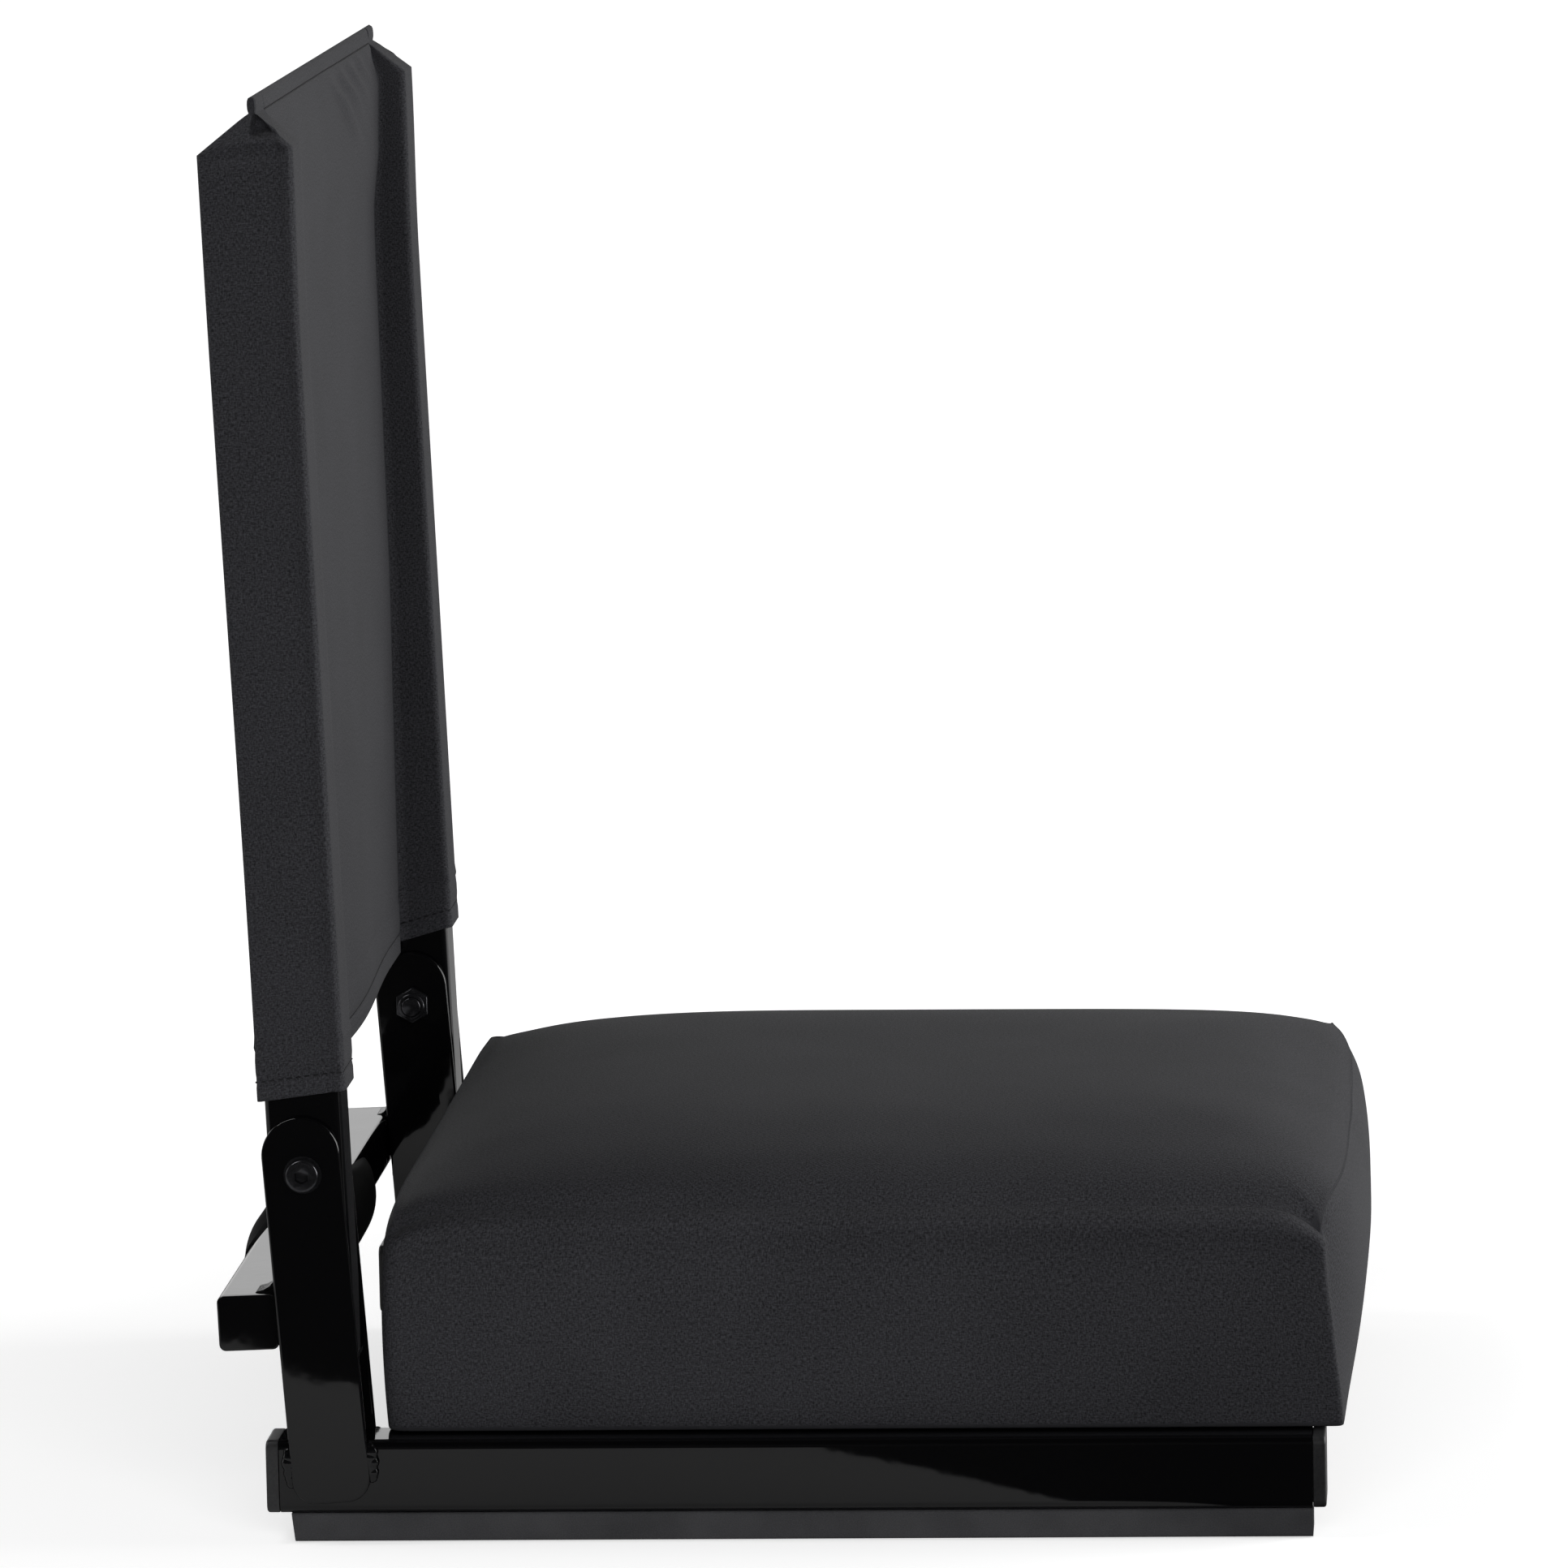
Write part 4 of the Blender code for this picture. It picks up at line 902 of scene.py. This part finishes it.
rows = coverRows()
grid = coverGrid(rows)
columns = grid.shape[1]
level = grid[20]  # a row above the hem, where the canvas is plain
cloth = np.zeros((len(rows), columns + 1, 2))
cloth[:, :, 0] = runLength(np.vstack([level, level[:1]]))
cloth[:, :, 1] = runLength(grid[:, panelColumns // 2])[:, None]
cover = loft("back_canvas", grid, cloth)
wall = cover.vertex_groups.new(name="wall")
for r, (z, t) in enumerate(rows):  # the seam along the top is pressed flat, so the wall thins out there
    wall.add(list(range(r * columns, (r + 1) * columns)), 1 - smoothStep(0.4, 0.9, t), "REPLACE")
turnOutward(cover, 0.00003)
applyModifier(cover, "SOLIDIFY", thickness=coverShape.wall, offset=-1, vertex_group="wall",
              thickness_vertex_group=0.1)
cover.data.transform(backLean)
finishPiece(cover, canvas, "back", ["back_cover"], angle=180)
print("back cover done:", len(cover.data.polygons), "faces")

threadShape = Settings(pitch=0.0034, long=0.0024, thick=0.0008, proud=0.0001)


def stitchRun(path, out):  # small sunk stitches along a sewn line; out points away from the canvas
    s = threadShape
    startFresh()
    bpy.ops.mesh.primitive_uv_sphere_add(segments=8, ring_count=6, radius=0.5)
    one = bpy.context.object
    shape = np.array([v.co for v in one.data.vertices])
    faces = [list(f.vertices) for f in one.data.polygons]
    bpy.data.objects.remove(one)
    length = runLength(path)
    at = lambda place, line: np.array([np.interp(place, length, line[:, k]) for k in range(3)])
    points, polygons = [], []
    for place in np.arange(s.pitch / 2, length[-1], s.pitch):
        spot, up = at(place, path), at(place, out)
        x = at(place + 5e-4, path) - at(place - 5e-4, path)
        x, up = x / max(np.linalg.norm(x), 1e-9), up / max(np.linalg.norm(up), 1e-9)
        y = np.cross(up, x)
        turned = shape[:, :1] * s.long * x + shape[:, 1:2] * s.thick * y + shape[:, 2:] * s.thick * up
        polygons += [[i + len(points) for i in face] for face in faces]
        points += (spot + up * s.proud + turned).tolist()
    return points, polygons


def rowNormals(r):
    along = np.roll(grid[r], -1, axis=0) - np.roll(grid[r], 1, axis=0)
    up = grid[min(r + 1, len(grid) - 1)] - grid[r - 1]
    return np.cross(along, up)


points, polygons = [], []
topRow = [i for i, (z, t) in enumerate(rows) if t == 1.0][0]
n, m = panelColumns, len(sleeveLoop())
panelFront, panelRear = list(range(0, n)), list(range(n + m, 2 * n + m))
for r, picks in ((hemRow, panelFront), (hemRow, list(range(n, n + m))), (hemRow, panelRear),
                 (hemRow, list(range(2 * n + m, 2 * (n + m)))), (topRow, panelFront), (topRow, panelRear)):
    newPoints, newFaces = stitchRun(grid[r][picks], rowNormals(r)[picks])
    polygons += [[i + len(points) for i in face] for face in newFaces]
    points += newPoints
mesh = bpy.data.meshes.new("back_stitching")
mesh.from_pydata(points, [], polygons)
stitching = newObject("back_stitching", mesh)
stitching.data.transform(backLean)
finishPiece(stitching, looks["thread"], "back", angle=180)
print("stitching done:", len(polygons), "faces")


# Grip on the bar

gripShape = Settings(
    half=0.092, radius=0.0198, end=0.0158, taper=0.045, x=-0.0247, z=-0.0590, scoop=0.5, barX=-0.02565,
    barZ=-0.0581, boreX=0.01185, boreZ=0.0110, facets=96, rim=(0.0138, 0.0150), endRound=0.0016,
    slit=(0.62, 0.85))


def gripPiece():
    s = gripShape
    stations = [(-s.half, r) for r in s.rim]
    for t in np.linspace(0, 1, 14):
        y = -s.half + s.endRound * min(1, t * 13) + s.taper * t
        stations.append((y, s.end + (s.radius - s.end) * math.sin(t * math.pi / 2)))
    stations += [(y, s.radius) for y in np.linspace(-s.half + s.taper + 0.006, 0, 8)]
    stations += [(-y, r) for y, r in reversed(stations[:-1])]
    turns = np.linspace(0, 2 * math.pi, s.facets, endpoint=False)
    # the foam is slit along the top and gapes at both ends, where the bar's top shows
    gape = np.array([1 - s.scoop * smoothStep(*s.slit, math.sin(t)) for t in turns])
    rings = []
    for y, r in stations:
        sag = max(0.0, 1 - (abs(y) / s.half) ** 3)  # it hangs a little below and ahead, less at its ends
        x, z = s.barX + (s.x - s.barX) * sag, s.barZ + (s.z - s.barZ) * sag
        rings.append(np.column_stack([x + r * np.cos(turns), y * gape, z + r * np.sin(turns)]))
    square = np.maximum(np.abs(np.cos(turns)) / s.boreX, np.abs(np.sin(turns)) / s.boreZ)
    boreX, boreZ = np.cos(turns) / square + s.barX, np.sin(turns) / square + s.barZ
    for y in (s.half, -s.half):
        rings.append(np.column_stack([boreX, y * gape, boreZ]))
    return loft("bar_grip", np.array(rings)[:, ::-1], wrapRows=True)


grip = gripPiece()
grip.data.transform(backLean)
turnOutward(grip)
finishPiece(grip, looks["grip"], "back", ["handle_grip"], angle=50)
print("grip done")


# Finishes for the CAD pieces that stay

slotFinish = {"cross_tube": enamel, "seat_board": ply, "seat_screw": looks["oxide"],
              "bolt_washer": looks["oxide"], "pivot_washer": looks["nylon"], "pivot_bush": looks["oxide"],
              "post_plug": looks["plastic"], "foot_strip": looks["rubber"]}
for name, node in cad.items():
    for start, finish in slotFinish.items():
        if name.startswith(start):
            for slot in node.material_slots:
                slot.material = finish
print("finishes set")


# Studio

worldShape = Settings(turn=0.25, room=0.035, low=0.28, high=0.55, overhead=0.08)


def studioWorld():  # pale backdrop behind, a dark room on the camera's side, darker overhead
    s = worldShape
    world = bpy.data.worlds.new("studio")
    bpy.context.scene.world = world
    world.use_nodes = True
    tree = world.node_tree
    background = tree.nodes["Background"]
    place = addNode(tree, "TexCoord").outputs["Generated"]
    way = addNode(tree, "SeparateXYZ", {"Vector": place})
    behind = addNode(tree, "MapRange", {
        "Value": way.outputs["Y"], "From Min": -s.turn, "From Max": s.turn,
        "To Min": s.room, "To Max": 1.0}, interpolation_type="SMOOTHSTEP")
    above = addNode(tree, "MapRange", {
        "Value": way.outputs["Z"], "From Min": s.low, "From Max": s.high,
        "To Min": 1.0, "To Max": s.overhead}, interpolation_type="SMOOTHSTEP")
    backdrop = addNode(tree, "Math", {0: behind, 1: above}, operation="MULTIPLY")
    seen = addNode(tree, "LightPath").outputs["Is Camera Ray"]
    level = addNode(tree, "Mix", {0: seen, 2: backdrop, 3: 1.0})
    setInputs(tree, background, {"Strength": level, "Color": (1, 1, 1, 1)})


# edge: the uneven line where the paper ends, which the enamel mirrors
floorShape = Settings(
    size=60, place=(-29.4, 0, -0.0004), dark=0.03, paper=0.8, pale=0.85, blur=0.003, nearGlow=0.6, near=0.4,
    far=1.2, lift=0.7, edge=((-0.300, -0.640), (-0.258, -0.596), (-0.209, -0.530), (-0.195, -0.535),
    (-0.008, -0.413), (0.083, -0.309), (0.200, -0.180)))


def studioFloor():
    s = floorShape
    startFresh()
    bpy.ops.mesh.primitive_plane_add(size=s.size, location=s.place)  # ends a little ahead of the seat
    floor = nameNew("floor")
    material = bpy.data.materials.new("pale_paper_floor")
    material.use_nodes = True
    tree = material.node_tree
    tree.nodes.remove(tree.nodes["Principled BSDF"])
    spot = addNode(tree, "TexCoord").outputs["Object"]
    place = addNode(tree, "SeparateXYZ", {"Vector": spot})
    first, last = s.edge[0][0], s.edge[-1][0]
    along = addNode(tree, "MapRange", {"Value": place.outputs["X"], "From Min": first, "From Max": last})
    edge = addNode(tree, "ValToRGB", {"Fac": along})
    stops = edge.color_ramp.elements
    while len(stops) < len(s.edge):
        stops.new(0.5)
    for stop, (x, y) in zip(stops, s.edge):  # lifted, because a colour can't be negative
        stop.position = (x - first) / (last - first)
        stop.color = (y + s.lift, y + s.lift, y + s.lift, 1)
    short = addNode(tree, "Math", {0: place.outputs["Y"], 1: edge}, operation="SUBTRACT")
    paper = addNode(tree, "MapRange", {
        "Value": short, "From Min": -s.lift - s.blur, "From Max": -s.lift + s.blur,
        "To Min": s.dark, "To Max": s.paper})
    dull = addNode(tree, "BsdfDiffuse", {"Color": paper})
    pale = addNode(tree, "BsdfDiffuse", {"Color": (s.pale, s.pale, s.pale, 1)})
    away = addNode(tree, "VectorMath", {0: spot}, operation="LENGTH")
    fade = addNode(tree, "MapRange", {  # shadow near the seat, white further off
        "Value": away.outputs["Value"], "From Min": s.near, "From Max": s.far,
        "To Min": s.nearGlow, "To Max": 1.0})
    glow = addNode(tree, "Emission", {"Color": (1, 1, 1, 1), "Strength": fade})
    white = addNode(tree, "AddShader", {0: pale, 1: glow})
    seen = addNode(tree, "LightPath").outputs["Is Camera Ray"]
    mix = addNode(tree, "MixShader", {0: seen, 1: dull, 2: white})
    setInputs(tree, tree.nodes["Material Output"], {"Surface": mix})
    floor.data.materials.append(material)


lamps = {"side_box": ((2.1, 0.3, 0.75), (1.3, 1.7), 31), "rear_strip": ((-1.2, -0.3, 1.9), (0.35, 1.2), 8),
         "front_fill": ((0.3, -2.6, 0.85), (2.0, 1.4), 39)}  # place, size and watts
lampAim = Vector((0, 0, 0.2))


def studioLamps():
    for name, (spot, size, power) in lamps.items():
        lamp = bpy.data.lights.new(name, "AREA")
        lamp.shape = "RECTANGLE"
        lamp.size, lamp.size_y = size
        lamp.energy = power
        holder = newObject(name, lamp)
        holder.location = spot
        holder.visible_glossy = name != "front_fill"  # soft light that leaves no bright patch on the enamel
        holder.rotation_euler = (lampAim - Vector(spot)).to_track_quat("-Z", "Y").to_euler()


# fitted to the photograph; the angles are turns about Z, X and Z in degrees
cameraShape = Settings(
    lens=232.9, sensor=36, place=(0.2752, -3.9951, 0.8232), heading=4.06, tilt=82.01, roll=-1.14)


def studioCamera():
    s = cameraShape
    lens = bpy.data.cameras.new("camera")
    lens.lens, lens.sensor_width = s.lens, s.sensor
    camera = newObject("camera", lens)
    turn = Matrix.Identity(3)
    for angle, axis in ((s.heading, "Z"), (s.tilt, "X"), (s.roll, "Z")):
        turn = turn @ Matrix.Rotation(math.radians(angle), 3, axis)
    camera.location = s.place
    camera.rotation_euler = turn.to_euler()
    bpy.context.scene.camera = camera


bpy.context.scene.view_settings.view_transform = "Standard"
studioWorld()
studioFloor()
studioLamps()
studioCamera()
print("studio done")
